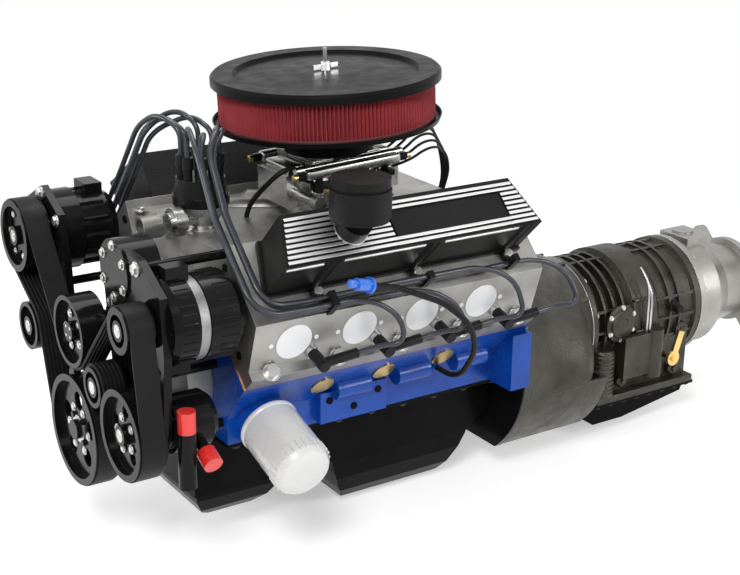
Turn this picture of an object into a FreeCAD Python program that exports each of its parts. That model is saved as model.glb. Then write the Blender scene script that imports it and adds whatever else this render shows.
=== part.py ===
"""A complete V8 engine with its automatic transmission, as a parametric document.

The engine is laid out from the rear face of its block. X runs rearward along
the crank axis, Y to the right-hand bank, Z up. Every piece is then moved by
frame_shift, so that the finished part has its origin at the centre of the
transfer-case adapter's rear face. Sizes are in millimetres.
"""
import FreeCAD, Part
import Sketcher
import math
import os
import re

SIZES = [
    # block and bottom end
    ("bore_spacing", 111.25), ("bore_radius", 50.8), ("crank_throw", 38.1),
    ("deck_height", 208.3), ("bank_cosine", 0.70710678), ("bank_offset", 21.0),
    ("rear_bore_gap", 97.4), ("block_length", 522.0), ("rail_half_width", 149.0),
    ("rail_drop", 10.0), ("skirt_height", 32.0), ("deck_inner", 72.0), ("deck_outer", 74.0),
    ("valley_depth", 68.0), ("crankcase_radius", 84.0), ("bulkhead", 24.0),
    ("cam_rise", 115.0), ("cam_journal", 25.0), ("run_gap", 0.05), ("soft_gap", 0.3),
    ("main_journal", 28.6), ("main_shell", 3.0), ("pin_journal", 26.9), ("web_radius", 64.0),
    ("web_thick", 12.0), ("cap_half_width", 66.0), ("cap_depth", 58.0),
    ("rod_length", 129.3), ("rod_width", 20.4), ("rod_ring", 9.5), ("wrist_radius", 11.6),
    ("piston_gap", 0.4), ("piston_crown", 30.0), ("piston_skirt", 17.0),
    ("cam_lobe", 22.8), ("cam_base", 18.0), ("lobe_width", 13.0), ("lifter_radius", 11.1),
    ("lifter_length", 50.0), ("lifter_start", 24.2), ("valve_spread", 22.0), ("pushrod_radius", 4.0),
    ("chain_width", 12.0), ("crank_sprocket_radius", 24.0), ("cam_sprocket_radius", 48.0),
    # cylinder heads
    ("gasket_thick", 1.2), ("head_front", 520.0), ("head_rear", 8.0), ("ledge_rise", 30.5),
    ("head_height", 100.0), ("ledge_inner", 59.0), ("port_face_top", 22.0), ("rail_inner", 108.0),
    ("intake_foot", 15.0), ("port_shift", 22.0), ("port_cover_radius", 29.0), ("port_cover_thick", 1.5),
    ("valve_foot", 22.0), ("valve_tip", 142.0), ("valve_floor", 91.0), ("bolt_line", 67.0), ("plug_shift",
                    10.0),
    ("pushrod_end", 270.0), ("rocker_inner", 76.0), ("rocker_span", 46.0), ("rocker_rise",
                    351.0), ("head_bolt_radius",
                    6.0), ("bolt_head",
                    11.0),
                    ("bolt_head_rise", 9.0),
    # valve covers
    ("cover_front", 495.0), ("cover_rear", 38.0), ("cover_outer", 15.0), ("cover_inner", 104.0),
    ("cover_height", 85.0), ("cover_clip", 24.0), ("cover_wall", 4.0), ("cover_draft", 7.0),
    ("fin_height", 3.0), ("fin_width", 4.6), ("fin_pitch", 8.2), ("fin_count", 9),
    ("cover_bolt_line", 9.0), ("plate_front", 303.0), ("plate_rear", 95.0), ("plate_inner", 80.0),
    ("breather_x", -369.0), ("breather_line", 60.0),
    # intake, fuel system and air cleaner
    ("carb_x", -254.0), ("carb_tilt", -3.0), ("carb_rise", 152.71),
    ("carb_height", 92.0), ("throat_radius", 22.0), ("throat_spread_x", 32.0), ("throat_spread_y", 26.0),
    ("shaft_rise", 22.0), ("throttle_shaft", 4.0), ("inlet_radius", 64.0),
    ("cleaner_base_rise", 124.0), ("cleaner_radius", 177.8), ("filter_radius", 169.0),
    ("filter_height", 70.0), ("filter_wall", 38.0),
    ("stud_radius", 3.2), ("breather_radius", 44.0), ("breather_height", 62.0),
    # ignition
    ("distributor_x", -482.0), ("distributor_radius", 43.0), ("seat_rise", 172.71), ("body_rise", 136.71),
    ("distributor_cap_height", 64.0), ("tower_radius", 7.0), ("tower_height", 30.0),
    ("distributor_shaft", 6.35), ("lead_radius", 4.0), ("dipstick_radius", 4.5),
    # front drive
    ("pulley_reach", 180.0), ("pulley_width", 42.0), ("belt_width", 36.0), ("belt_thick", 4.6),
    ("pulley_wall", 7.0), ("crank_pulley_radius", 82.0),
    ("steering_y", -171.0), ("steering_z", 58.0), ("steering_pulley_radius", 63.0),
    ("alternator_y", -178.0), ("alternator_z", 215.0), ("alternator_pulley_radius", 30.0),
    ("pump_z", 156.0), ("pump_pulley_radius", 54.0),
    ("idler_y", -80.0), ("idler_z", 97.0), ("idler_radius", 30.0),
    ("cooling_y", 205.0), ("cooling_z", 247.0), ("cooling_pulley_radius", 53.0),
    ("tensioner_y", 165.0), ("tensioner_z", 112.0), ("tensioner_radius", 38.0),
    ("arm_length", 62.0), ("shaft_radius", 8.5),
    ("bracket_reach", 133.0), ("bracket_thick", 12.0),
    # oil pan and filter
    ("pan_rail", 6.0), ("pan_bottom", -203.0), ("front_sump_bottom", -164.0), ("pan_floor", -104.0),
    ("pan_wall", 3.0), ("filter_body_radius", 46.5), ("filter_body_length", 122.0),
    ("oil_filter_x", -468.0), ("oil_filter_y", -170.0), ("oil_filter_z", 22.0), ("oil_filter_slope", 18.0),
    # transmission
    ("plate_thick", 3.0), ("bell_radius", 197.0), ("bell_length", 222.0), ("bell_neck", 112.0),
    ("bell_wall", 7.0), ("case_length", 265.0), ("case_radius", 104.0),
    ("trans_pan_rail", -132.0), ("trans_pan_depth", 46.0), ("trans_pan_half", 122.0),
    ("adapter_length", 185.0), ("adapter_radius", 82.0), ("pilot_radius", 41.3), ("pilot_depth", 24.0),
    ("adapter_bolt_circle", 66.0), ("adapter_hole", 5.5), ("output_radius", 17.5),
    ("converter_radius", 148.0), ("converter_depth", 120.0), ("flexplate_radius", 142.0),
]

doc = FreeCAD.newDocument("V8Engine")
sheet = doc.addObject("Spreadsheet::Sheet", "sizes")
for row, (word, value) in enumerate(SIZES, start=1):
    sheet.set(f"A{row}", word)
    sheet.set(f"B{row}", str(value))
    sheet.setAlias(f"B{row}", word)
doc.recompute()

WORDS = {word for word, _ in SIZES}
NODES = []
VECTOR = FreeCAD.Vector
TURN = {
    "x": FreeCAD.Rotation(VECTOR(0, 1, 0), 90),
    "y": FreeCAD.Rotation(VECTOR(1, 0, 0), -90),
    "z": FreeCAD.Rotation(),
}
PLANES = {"x": "YZ_Plane", "y": "XZ_Plane", "z": "XY_Plane"}
FRAME_SHIFT = "-(plate_thick + bell_length + case_length + adapter_length)"
LEFT, RIGHT = -1, 1
# places that follow the block: the front drive from its front face, the top dressing from its decks
PULLEY_FRONT = "-block_length - pulley_reach"
BRACKET_FRONT = "-block_length - bracket_reach"
BRACKET_BACK = "-block_length - bracket_reach + bracket_thick"
CARB_BASE = "deck_height * bank_cosine + carb_rise"
BODY_SEAT = "deck_height * bank_cosine + body_rise"
CAP_SEAT = "deck_height * bank_cosine + seat_rise"


def size(word):
    """The value of a size, as the spreadsheet holds it."""
    return float(sheet.get(word))


def bind(piece, field, formula):
    """Tie a property to a formula of size words."""
    text = re.sub(r"[a-z]\w+", lambda found: f"sizes.{found.group(0)}" if found.group(0) in WORDS
                  else found.group(0), str(formula))
    piece.setExpression(field, text)


def seat(piece, x, y, z):
    """Tie the place of a piece to three formulas."""
    for letter, formula in zip("xyz", (x, y, z)):
        bind(piece, f"Placement.Base.{letter}", formula)
    return piece


def box(x0, x1, y0, y1, z0, z1):
    """A block between two corners."""
    piece = doc.addObject("Part::Box", "block")
    bind(piece, "Length", f"({x1}) - ({x0})")
    bind(piece, "Width", f"({y1}) - ({y0})")
    bind(piece, "Height", f"({z1}) - ({z0})")
    return seat(piece, x0, y0, z0)


def along(direction, start, a, b):
    """The x, y and z of a point that is start along an axis at a and b across it."""
    return {"x": (start, a, b), "y": (a, start, b), "z": (a, b, start)}[direction]


def rod(radius, start, end, a, b, direction="x"):
    """A cylinder along one axis, from start to end."""
    piece = doc.addObject("Part::Cylinder", "rod")
    bind(piece, "Radius", radius)
    bind(piece, "Height", f"({end}) - ({start})")
    piece.Placement.Rotation = TURN[direction]
    return seat(piece, *along(direction, start, a, b))


def cone(radius_start, radius_end, start, end, a, b, direction="x"):
    """A cone frustum along one axis, from start to end."""
    piece = doc.addObject("Part::Cone", "cone")
    bind(piece, "Radius1", radius_start)
    bind(piece, "Radius2", radius_end)
    bind(piece, "Height", f"({end}) - ({start})")
    piece.Placement.Rotation = TURN[direction]
    return seat(piece, *along(direction, start, a, b))


def outline(body, role, points):
    """A closed sketch of straight lines whose corners are tied to formulas."""
    sketch = body.newObject("Sketcher::SketchObject", "outline")
    plane = next(item for item in body.Origin.OriginFeatures if item.Role == role)
    sketch.AttachmentSupport = [(plane, "")]
    sketch.MapMode = "FlatFace"
    count = len(points)
    probe = doc.addObject("App::FeaturePython", "probe")
    values = []
    for index, pair in enumerate(points):
        for letter, formula in zip("ab", pair):
            field = f"{letter}{index}"
            probe.addProperty("App::PropertyFloat", field)
            bind(probe, field, formula)
    probe.recompute()
    for index in range(count):
        values.append((getattr(probe, f"a{index}"), getattr(probe, f"b{index}")))
    doc.removeObject(probe.Name)
    for index in range(count):
        first, second = values[index], values[(index + 1) % count]
        sketch.addGeometry(Part.LineSegment(VECTOR(*first, 0), VECTOR(*second, 0)))
    for index in range(count):
        sketch.addConstraint(Sketcher.Constraint("Coincident", index, 2, (index + 1) % count, 1))
        for kind, part in (("DistanceX", 0), ("DistanceY", 1)):
            number = sketch.addConstraint(Sketcher.Constraint(kind, -1, 1, index, 1, values[index][part]))
            bind(sketch, f"Constraints[{number}]", points[index][part])
    return sketch


def prism(points, start, end, direction="x"):
    """A padded outline: points are (y, z), (x, z) or (x, y) for a pad along x, y or z."""
    body = doc.addObject("PartDesign::Body", "prism")
    sketch = outline(body, PLANES[direction], points)
    pad = body.newObject("PartDesign::Pad", "pad")
    pad.Profile = sketch
    bind(pad, "Length", f"({end}) - ({start})")
    sketch.Visibility = False
    # the pad of an XZ sketch runs towards -Y, so such a body is seated at its end
    base = end if direction == "y" else start
    return seat(body, *along(direction, base, "0", "0"))


def turned(points, a, b, direction="x"):
    """A turned piece: points are (place along the axis, radius)."""
    body = doc.addObject("PartDesign::Body", "turned")
    sketch = outline(body, "XY_Plane", points)
    spin = body.newObject("PartDesign::Revolution", "spin")
    spin.Profile = sketch
    spin.ReferenceAxis = (sketch, ["H_Axis"])
    spin.Angle = 360
    turn = {"x": FreeCAD.Rotation(), "y": FreeCAD.Rotation(VECTOR(0, 0, 1), 90),
            "z": FreeCAD.Rotation(VECTOR(0, 1, 0), -90)}
    body.Placement.Rotation = turn[direction]
    return seat(body, *along(direction, "0", a, b))


def fuse(*pieces):
    """One solid of several pieces."""
    if len(pieces) == 1:
        return pieces[0]
    result = doc.addObject("Part::MultiFuse", "joined")
    result.Shapes = list(pieces)
    return result


def cut(base, *tools):
    """A piece with others taken out of it."""
    result = doc.addObject("Part::Cut", "hollowed")
    result.Base = base
    result.Tool = fuse(*tools)
    return result


def keep(first, second):
    """What two pieces have in common."""
    result = doc.addObject("Part::Common", "shared")
    result.Base = first
    result.Tool = second
    return result


def shaped(shape):
    """A piece whose shape is worked out from the sizes in this file."""
    piece = doc.addObject("Part::Feature", "shaped")
    piece.Shape = shape
    return piece


def tilted(piece, angle, axis, x, y, z):
    """A piece turned about an axis, then moved; its own origin is the pivot."""
    holder = doc.addObject("Part::Compound", "tilted")
    holder.Links = [piece]
    holder.Placement.Rotation = FreeCAD.Rotation(VECTOR(*axis), 1)
    bind(holder, "Placement.Rotation.Angle", angle)
    return seat(holder, x, y, z)


def node(label, *pieces, x="0", bank=0):
    """Name a finished sub-part and seat it in the part's frame, upright or on a bank."""
    holder = doc.addObject("Part::Compound", label)
    holder.Label = label
    holder.Links = list(pieces)
    if bank:
        holder.Placement.Rotation = FreeCAD.Rotation(VECTOR(1, 0, 0), -45 * bank)
        if bank == RIGHT:
            x = f"({x}) - bank_offset"
    seat(holder, f"({x}) + {FRAME_SHIFT}", "0", "0")
    NODES.append(holder)
    return holder


def bank_y(bank, formula):
    """The local y of a distance outboard of the bore axis."""
    return f"{bank} * ({formula})"


def bore_x(number):
    """The place of a left-hand bore, counted from the front; the right bank adds its offset."""
    return f"-(rear_bore_gap + {3 - number} * bore_spacing)"


def main_x(number):
    """The centre of a main bearing, counted from the front."""
    return f"({bore_x(number)}) - bank_offset / 2 - bore_spacing / 2"


def ring(outer, inner, start, end, a, b, direction="x"):
    """A plain ring or tube."""
    return cut(rod(outer, start, end, a, b, direction),
               rod(inner, f"({start}) - 1", f"({end}) + 1", a, b, direction))


def bolt_circle(radius, circle, count, start, end, a, b, phase=0.0):
    """Equal round pieces along x on a circle about a and b."""
    pieces = []
    for index in range(count):
        angle = phase + 360.0 * index / count
        pieces.append(rod(radius, start, end, f"({a}) + ({circle}) * cos({angle})",
                          f"({b}) + ({circle}) * sin({angle})"))
    return pieces


def engine_block():
    """The block: bores, crankcase, cam tunnel, lifter bores, mount bosses and filter boss."""
    corners = []
    for side in (LEFT, RIGHT):
        half = [
            (f"{side} * rail_half_width", "-rail_drop"),
            (f"{side} * rail_half_width", "skirt_height"),
            (f"{side} * (deck_height + deck_outer) * bank_cosine",
             "(deck_height - deck_outer) * bank_cosine"),
            (f"{side} * (deck_height - deck_inner) * bank_cosine",
             "(deck_height + deck_inner) * bank_cosine"),
            (f"{side} * (deck_height - valley_depth - deck_inner) * bank_cosine",
             "(deck_height - valley_depth + deck_inner) * bank_cosine"),
        ]
        corners += half if side == LEFT else half[::-1]
    body = prism(corners, "-block_length", "0")
    wall = [(f"{side} * (deck_height - {depth} - deck_inner) * bank_cosine",
             f"(deck_height - {depth} + deck_inner) * bank_cosine")
            for side, depth in ((LEFT, "valley_depth"), (LEFT, "0"), (RIGHT, "0"), (RIGHT, "valley_depth"))]
    pieces = [body, prism(wall, "-block_length", "-block_length + 16"), prism(wall, "-16", "0")]
    for side in (LEFT, RIGHT):
        low, high = sorted((side * 208, side * 140))
        pieces.append(box("-38", "0", low, high, "-rail_drop", "85"))
        if side == LEFT:
            pieces.append(rod(9, "-162", "-140", "-153", "40", "y"))
        mount = prism([("-372", "-rail_drop + 4"), ("-252", "-rail_drop + 4"), ("-252", "44"),
                       ("-372", "44")],
                      f"{side} * (rail_half_width + 7) - 9", f"{side} * (rail_half_width + 7) + 9", "y")
        pieces.append(mount)
    for bank, start in ((LEFT, "rear_bore_gap"), (RIGHT, "rear_bore_gap + bank_offset")):
        # a low rib follows each bore down the outside of its bank
        for number in range(1, 4):
            x = f"-({start} + {3 - number} * bore_spacing)"
            rib = rod(16, f"{x} - 30", f"{x} + 30", f"{bank} * (rail_half_width + 18)", "48")
            pieces.append(rib)
    boss = doc.addObject("Part::Cylinder", "filter_boss")
    bind(boss, "Radius", "filter_body_radius - 10")
    boss.Height = 60
    pieces.append(tilted(boss, "180 - 90 + oil_filter_slope", (1, 0, 0), "oil_filter_x",
                         "oil_filter_y + 60 * cos(oil_filter_slope)",
                         "oil_filter_z + 60 * sin(oil_filter_slope)"))
    tools = [rod("crankcase_radius", f"({main_x(number)}) + bulkhead / 2",
                 f"({main_x(number + 1)}) - bulkhead / 2",
                 "0", "0") for number in range(4)]
    tools.append(box("-block_length - 1", "1", "-cap_half_width - 2", "cap_half_width + 2", "-rail_drop - 1",
                     "0"))
    tools += [box(f"({main_x(number)}) + bulkhead / 2", f"({main_x(number + 1)}) - bulkhead / 2",
                  "-crankcase_radius", "crankcase_radius", "-rail_drop - 1", "1") for number in range(4)]
    tools.append(rod("main_journal + main_shell", "-block_length - 1", "1", "0", "0"))
    tools.append(rod("46", f"({main_x(4)}) + bulkhead / 2 + 3", "1", "0", "0"))
    tools.append(rod("cam_journal + run_gap", "-block_length - 1", "-20", "0", "cam_rise"))
    tools.append(rod("distributor_shaft + 8", "cam_rise + 10", "cam_rise + 60", "distributor_x", "0", "z"))
    for bank, offset in ((LEFT, "0"), (RIGHT, "bank_offset")):
        bores = []
        for number in range(4):
            x = f"({bore_x(number)}) - {offset}"
            bores.append(seat_rod("bore_radius", "58", "deck_height + 1", x, "0"))
            for spread in ("-valve_spread", "valve_spread"):
                bores.append(lifter_line("lifter_radius + 0.1", "lifter_start - 3",
                                         "lifter_start + lifter_length + 30",
                                         f"{x} + {spread}", bank))
                bores.append(lifter_line("pushrod_radius + 2", "lifter_start + lifter_length", "150",
                                         f"{x} + {spread}", bank))
        tools.append(on_bank(bank, bores))
    node("engine_block", cut(fuse(*pieces), *tools))


def seat_rod(radius, start, end, x, y):
    """A round piece along a bank's bore axis, in that bank's own frame."""
    return rod(radius, start, end, x, y, "z")


def on_bank(bank, pieces):
    """Pieces drawn in a bank's own frame, turned onto that bank."""
    holder = doc.addObject("Part::Compound", "bank")
    holder.Links = list(pieces)
    holder.Placement.Rotation = FreeCAD.Rotation(VECTOR(1, 0, 0), -45 * bank)
    return holder


LIFTER_TILT = 4.0


def lifter_line(radius, start, end, x, bank):
    """A round piece on the line from the cam centre through a lifter, in the bank's frame."""
    piece = doc.addObject("Part::Cylinder", "lifter_line")
    bind(piece, "Radius", radius)
    bind(piece, "Height", f"({end}) - ({start})")
    piece.Placement.Rotation = FreeCAD.Rotation(VECTOR(1, 0, 0), -LIFTER_TILT * bank)
    reach = f"({start})"
    return seat(piece, x, f"{bank} * (-cam_rise * bank_cosine + {reach} * sin({LIFTER_TILT}))",
                f"cam_rise * bank_cosine + {reach} * cos({LIFTER_TILT})")


def main_bearing_caps():
    """Five caps below the crank and the split shells between journal and housing."""
    pieces = []
    for number in range(5):
        middle = main_x(number)
        start, end = f"({middle}) - bulkhead / 2", f"({middle}) + bulkhead / 2"
        cap = box(start, end, "-cap_half_width", "cap_half_width", "-cap_depth", "0")
        pieces.append(cut(cap, rod("main_journal + main_shell", f"{start} - 1", f"{end} + 1", "0", "0")))
        for low, high in (("-40", "0"), ("0", "40")):
            shell = ring("main_journal + main_shell", "main_journal + run_gap", f"{start} + 1", f"{end} - 1",
                         "0", "0")
            pieces.append(keep(shell, box(start, end, "-40", "40", low, high)))
    node("main_bearing_caps", *pieces)


THROW_ANGLES = (0.0, 90.0, 270.0, 180.0)


def crank_pin(number):
    """The y and z formulas of a crank pin's centre, angles measured from straight up."""
    angle = THROW_ANGLES[number]
    return f"crank_throw * {round(math.sin(math.radians(angle)), 6)}", \
           f"crank_throw * {round(math.cos(math.radians(angle)), 6)}"


def crankshaft():
    """Journals, pins and counterweighted webs, the front snout and the rear flange."""
    pieces = [rod("main_journal", f"({main_x(number)}) - bulkhead / 2 - 10",
                  f"({main_x(number)}) + bulkhead / 2 + 10",
                  "0", "0") for number in range(5)]
    for number in range(4):
        y, z = crank_pin(number)
        middle = f"({bore_x(number)}) - bank_offset / 2"
        pieces.append(rod("pin_journal", f"{middle} - rod_width - 3", f"{middle} + rod_width + 3", y, z))
        angle = THROW_ANGLES[number]
        for start, end in ((f"{middle} - rod_width - 2 - web_thick", f"{middle} - rod_width - 2"),
                           (f"{middle} + rod_width + 2", f"{middle} + rod_width + 2 + web_thick")):
            weight = rod("web_radius", start, end, "0", "0")
            half = doc.addObject("Part::Box", "half")
            bind(half, "Length", f"({end}) - ({start})")
            half.Width = 140
            half.Height = 72
            turn = FreeCAD.Rotation(VECTOR(1, 0, 0), -angle)
            half.Placement.Rotation = turn
            corner = turn.multVec(VECTOR(0, -70, -70))
            seat(half, start, str(round(corner.y, 6)), str(round(corner.z, 6)))
            pieces += [keep(weight, half), rod("pin_journal + 8", start, end, y, z),
                       rod(40, start, end, "0", "0")]
    pieces.append(rod(21, f"{PULLEY_FRONT} + 8", f"({main_x(0)}) - bulkhead / 2", "0", "0"))
    pieces.append(rod(45, f"({main_x(4)}) + bulkhead / 2 + 4", "plate_thick + 6", "0", "0"))
    sprocket = cut(rod("crank_sprocket_radius", "-block_length - 26", "-block_length - 14", "0", "0"),
                   rod(21, "-block_length - 30", "-block_length - 10", "0", "0"))
    node("crankshaft", fuse(*pieces), sprocket)


def wrist_height(bank, number):
    """How far a wrist pin stands along its bore axis, and the lean of its rod."""
    angle = math.radians(THROW_ANGLES[number] - 45.0 * bank)
    throw, length = size("crank_throw"), size("rod_length")
    across = throw * math.sin(angle)
    return throw * math.cos(angle) + math.sqrt(length ** 2 - across ** 2), across


def pistons():
    """Eight pistons with ring grooves and their wrist pins, at the heights the crank gives them."""
    pieces = []
    for bank, offset in ((LEFT, "0"), (RIGHT, "bank_offset")):
        row = []
        for number in range(4):
            height, _ = wrist_height(bank, number)
            x = f"({bore_x(number)}) - {offset}"
            radius = "bore_radius - piston_gap"
            crown = f"{height:.6f} + piston_crown"
            body = seat_rod(radius, f"{height:.6f} - piston_skirt", crown, x, "0")
            tools = [box(f"{x} - rod_width / 2 - 1", f"{x} + rod_width / 2 + 1", "-32", "32",
                         f"{height:.6f} - piston_skirt - 1", f"{height:.6f} + wrist_radius + rod_ring")]
            for groove in (6, 12, 18):
                tools.append(cut(seat_rod(radius + " + 1", f"{crown} - {groove} - 2", f"{crown} - {groove}",
                                          x, "0"),
                                 seat_rod(radius + " - 3", f"{crown} - {groove} - 3",
                                          f"{crown} - {groove} + 1", x, "0")))
            tools.append(rod("wrist_radius", f"{x} - 60", f"{x} + 60", "0", f"{height:.6f}"))
            row.append(cut(body, *tools))
            row.append(rod("wrist_radius", f"{x} - 36", f"{x} + 36", "0", f"{height:.6f}"))
        pieces.append(on_bank(bank, row))
    return pieces


def connecting_rods():
    """Eight rods, each from its wrist pin to its crank pin."""
    pieces = []
    for bank, offset, hand in ((LEFT, "0", 1), (RIGHT, "bank_offset", -1)):
        row = []
        for number in range(4):
            height, across = wrist_height(bank, number)
            low = height - math.sqrt(size("rod_length") ** 2 - across ** 2)
            middle = f"({bore_x(number)}) - bank_offset / 2 + {hand} * (rod_width / 2 + 0.1)"
            x0, x1 = f"{middle} - rod_width / 2 + 0.1", f"{middle} + rod_width / 2 - 0.1"
            big = "pin_journal + run_gap"
            lean = math.degrees(math.atan2(across, height - low))
            beam = doc.addObject("Part::Box", "beam")
            bind(beam, "Length", f"({x1}) - ({x0}) - 4")
            beam.Width = 24
            bind(beam, "Height", "rod_length - 20")
            turn = FreeCAD.Rotation(VECTOR(1, 0, 0), lean)
            beam.Placement.Rotation = turn
            corner = VECTOR(0, across, low) + turn.multVec(VECTOR(0, -12, 10))
            seat(beam, f"{x0} + 2", f"{corner.y:.6f}", f"{corner.z:.6f}")
            body = fuse(rod(big + " + rod_ring", x0, x1, f"{across:.6f}", f"{low:.6f}"),
                        rod("wrist_radius + rod_ring - 2", x0, x1, "0", f"{height:.6f}"), beam)
            row.append(cut(body, rod(big, f"{x0} - 1", f"{x1} + 1", f"{across:.6f}", f"{low:.6f}"),
                           rod("wrist_radius + run_gap", f"{x0} - 1", f"{x1} + 1", "0", f"{height:.6f}")))
        pieces.append(on_bank(bank, row))
    node("pistons_and_rods", *pistons(), *pieces)


def camshaft():
    """Five journals and sixteen lobes in the tunnel above the crank."""
    pieces = [rod("15", "-block_length - 8", "-24", "0", "cam_rise")]
    for number in range(5):
        pieces.append(rod("cam_journal", f"({main_x(number)}) - 6", f"({main_x(number)}) + 6", "0",
                          "cam_rise"))
    turn = 0.0
    for bank, offset in ((LEFT, "0"), (RIGHT, "bank_offset")):
        for number in range(4):
            for spread in (-1, 1):
                turn += 67.5
                x = f"({bore_x(number)}) - {offset} + {spread} * valve_spread"
                shift = "(cam_lobe - cam_base + 4)"
                y = f"{shift} * {round(math.cos(math.radians(turn)), 6)}"
                z = f"cam_rise + {shift} * {round(math.sin(math.radians(turn)), 6)}"
                pieces.append(rod("cam_base - 4", f"{x} - lobe_width / 2", f"{x} + lobe_width / 2", y, z))
                pieces.append(rod("cam_base", f"{x} - lobe_width / 2", f"{x} + lobe_width / 2", "0",
                                  "cam_rise"))
    pieces.append(rod("18", "distributor_x - 6", "distributor_x + 6", "0", "cam_rise"))
    node("camshaft", fuse(*pieces), cam_sprocket())


def cam_sprocket():
    """The sprocket and its hub on the camshaft's front end."""
    front, back = "-block_length - 26", "-block_length - 14"
    face = cut(rod("cam_sprocket_radius", front, back, "0", "cam_rise"),
               rod("15", f"{front} - 1", f"{back} + 1", "0", "cam_rise"),
               *bolt_circle("9", "30", 5, f"{front} - 1", f"{back} + 1", "0", "cam_rise"))
    hub = cut(rod("22", back, "-block_length - 4", "0", "cam_rise"),
              rod("15", f"{back} - 1", "-block_length - 3", "0", "cam_rise"))
    return fuse(face, hub)


def timing_chain():
    """The chain round the crank sprocket and the cam sprocket."""
    small = (0.0, 0.0, size("crank_sprocket_radius") + size("soft_gap"), 1)
    large = (0.0, size("cam_rise"), size("cam_sprocket_radius") + size("soft_gap"), 1)
    path_inner = loop_wire([small, large], 0.0, 0.0)
    path_outer = loop_wire([small, large], 0.0, 7.0)
    loop = Part.Face(path_outer).cut(Part.Face(path_inner))
    chain = loop.extrude(VECTOR(size("chain_width") - 1, 0, 0))
    chain.translate(VECTOR(-size("block_length") - 25.5, 0, 0))
    node("timing_chain", shaped(chain))


def loop_wire(wheels, x, grow):
    """A closed wire round wheels (y, z, radius, side) in one plane; side -1 is touched by the loop's back.

    grow moves the wire outward from the loop: a wheel inside gets larger, one outside gets smaller.
    """
    spans = []
    count = len(wheels)
    for index in range(count):
        y0, z0, r0, side0 = wheels[index]
        y1, z1, r1, side1 = wheels[(index + 1) % count]
        r0, r1 = r0 + grow * side0, r1 + grow * side1
        reach = math.hypot(y1 - y0, z1 - z0)
        heading = math.atan2(z1 - z0, y1 - y0)
        course = heading - math.asin((side1 * r1 - side0 * r0) / reach)
        normal = (math.sin(course), -math.cos(course))
        leave = (y0 + side0 * r0 * normal[0], z0 + side0 * r0 * normal[1])
        arrive = (y1 + side1 * r1 * normal[0], z1 + side1 * r1 * normal[1])
        spans.append((leave, arrive, course))
    edges = []
    for index in range(count):
        leave, arrive, course = spans[index]
        edges.append(Part.LineSegment(VECTOR(x, *leave), VECTOR(x, *arrive)))
        y, z, radius, side = wheels[(index + 1) % count]
        radius += grow * side
        after, _, turned_course = spans[(index + 1) % count]
        sweep = turned_course - course
        sweep = sweep % (2 * math.pi) if side > 0 else -((-sweep) % (2 * math.pi))
        angle = math.atan2(arrive[1] - z, arrive[0] - y) + sweep / 2
        middle = VECTOR(x, y + radius * math.cos(angle), z + radius * math.sin(angle))
        edges.append(Part.Arc(VECTOR(x, *arrive), middle, VECTOR(x, *after)))
    return Part.Wire([edge.toShape() for edge in edges])


def timing_cover():
    """The cast cover over the timing drive, open round the crank snout."""
    front, back = "-block_length - 40", "-block_length"
    shape = [("-96", "-pan_rail - rail_drop"), ("96", "-pan_rail - rail_drop"), ("104", "70"), ("84", "188"),
             ("-84", "188"), ("-104", "70")]
    inside = [("-82", "-70"), ("82", "-70"), ("86", "74"), ("62", "172"), ("-62", "172"), ("-86", "74")]
    body = cut(prism(shape, front, back), prism(inside, f"{front} + 5", f"{back} + 1"),
               rod("27", f"{front} - 1", f"{back}", "0", "0"))
    node("timing_cover", body)


HEAD_BASE = "deck_height + gasket_thick"


def cylinder_head(bank, label):
    """One head: bolt ledge, slanted exhaust face with ports, chambers, plug and valve holes."""
    section = [
        (bank_y(bank, "-deck_inner"), HEAD_BASE),
        (bank_y(bank, "deck_outer"), HEAD_BASE),
        (bank_y(bank, "deck_outer"), f"{HEAD_BASE} + ledge_rise"),
        (bank_y(bank, "ledge_inner"), f"{HEAD_BASE} + ledge_rise"),
        (bank_y(bank, "port_face_top"), f"{HEAD_BASE} + head_height"),
        (bank_y(bank, "-rail_inner"), f"{HEAD_BASE} + head_height"),
        (bank_y(bank, "-deck_inner - 6"), f"{HEAD_BASE} + intake_foot"),
    ]
    body = prism(section, "-head_front", "-head_rear")
    tools = []
    top = f"{HEAD_BASE} + head_height"
    # the rocker well under the valve cover
    tools.append(box("-cover_front + 22", "-cover_rear - 22", *well_span(bank), f"{top} - 12", f"{top} + 1"))
    for number in range(4):
        x = bore_x(number)
        tools.append(seat_rod("bore_radius - 2", f"{HEAD_BASE} - 1", f"{HEAD_BASE} + 9", x, "0"))
        for spread in ("-valve_spread", "valve_spread"):
            place = f"({x}) + {spread}"
            tools.append(valve_rod("4.6", "0", "head_height + 2", place, bank))
            tools.append(valve_rod("19.6", "-4", "9.5", place, bank))
            tools.append(lifter_line("pushrod_radius + 2", "lifter_start + lifter_length + 30",
                                     "lifter_start + lifter_length + 200", place, bank))
        port = f"({x}) - port_shift"
        tools.append(port_rod("17", "-46", "1", port, bank))
        tools.append(plug_rod("6.9", "-52", "2", x, bank))
        intake = rod("18", "-120", "-60", f"({x}) + 24", "245", "y") if bank == RIGHT else \
            rod("18", "60", "120", f"({x}) + 24", "245", "y")
        tools.append(intake)
    for number in range(5):
        x = bolt_x(number)
        tools.append(seat_rod("head_bolt_radius + 0.6", f"{HEAD_BASE} - 1", f"{HEAD_BASE} + ledge_rise + 1",
                              x,
                              bank_y(bank, "bolt_line")))
        tools.append(seat_rod("bolt_head + 3.2", f"{HEAD_BASE} + ledge_rise",
                              f"{HEAD_BASE} + ledge_rise + 40", x,
                              bank_y(bank, "bolt_line")))
    node(label, cut(body, *tools), bank=bank)


def well_span(bank):
    """The low and high local y of the rocker well."""
    inner, outer = bank_y(bank, "-cover_inner + 12"), bank_y(bank, "-cover_outer - 3")
    return (inner, outer) if bank == RIGHT else (outer, inner)


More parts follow.
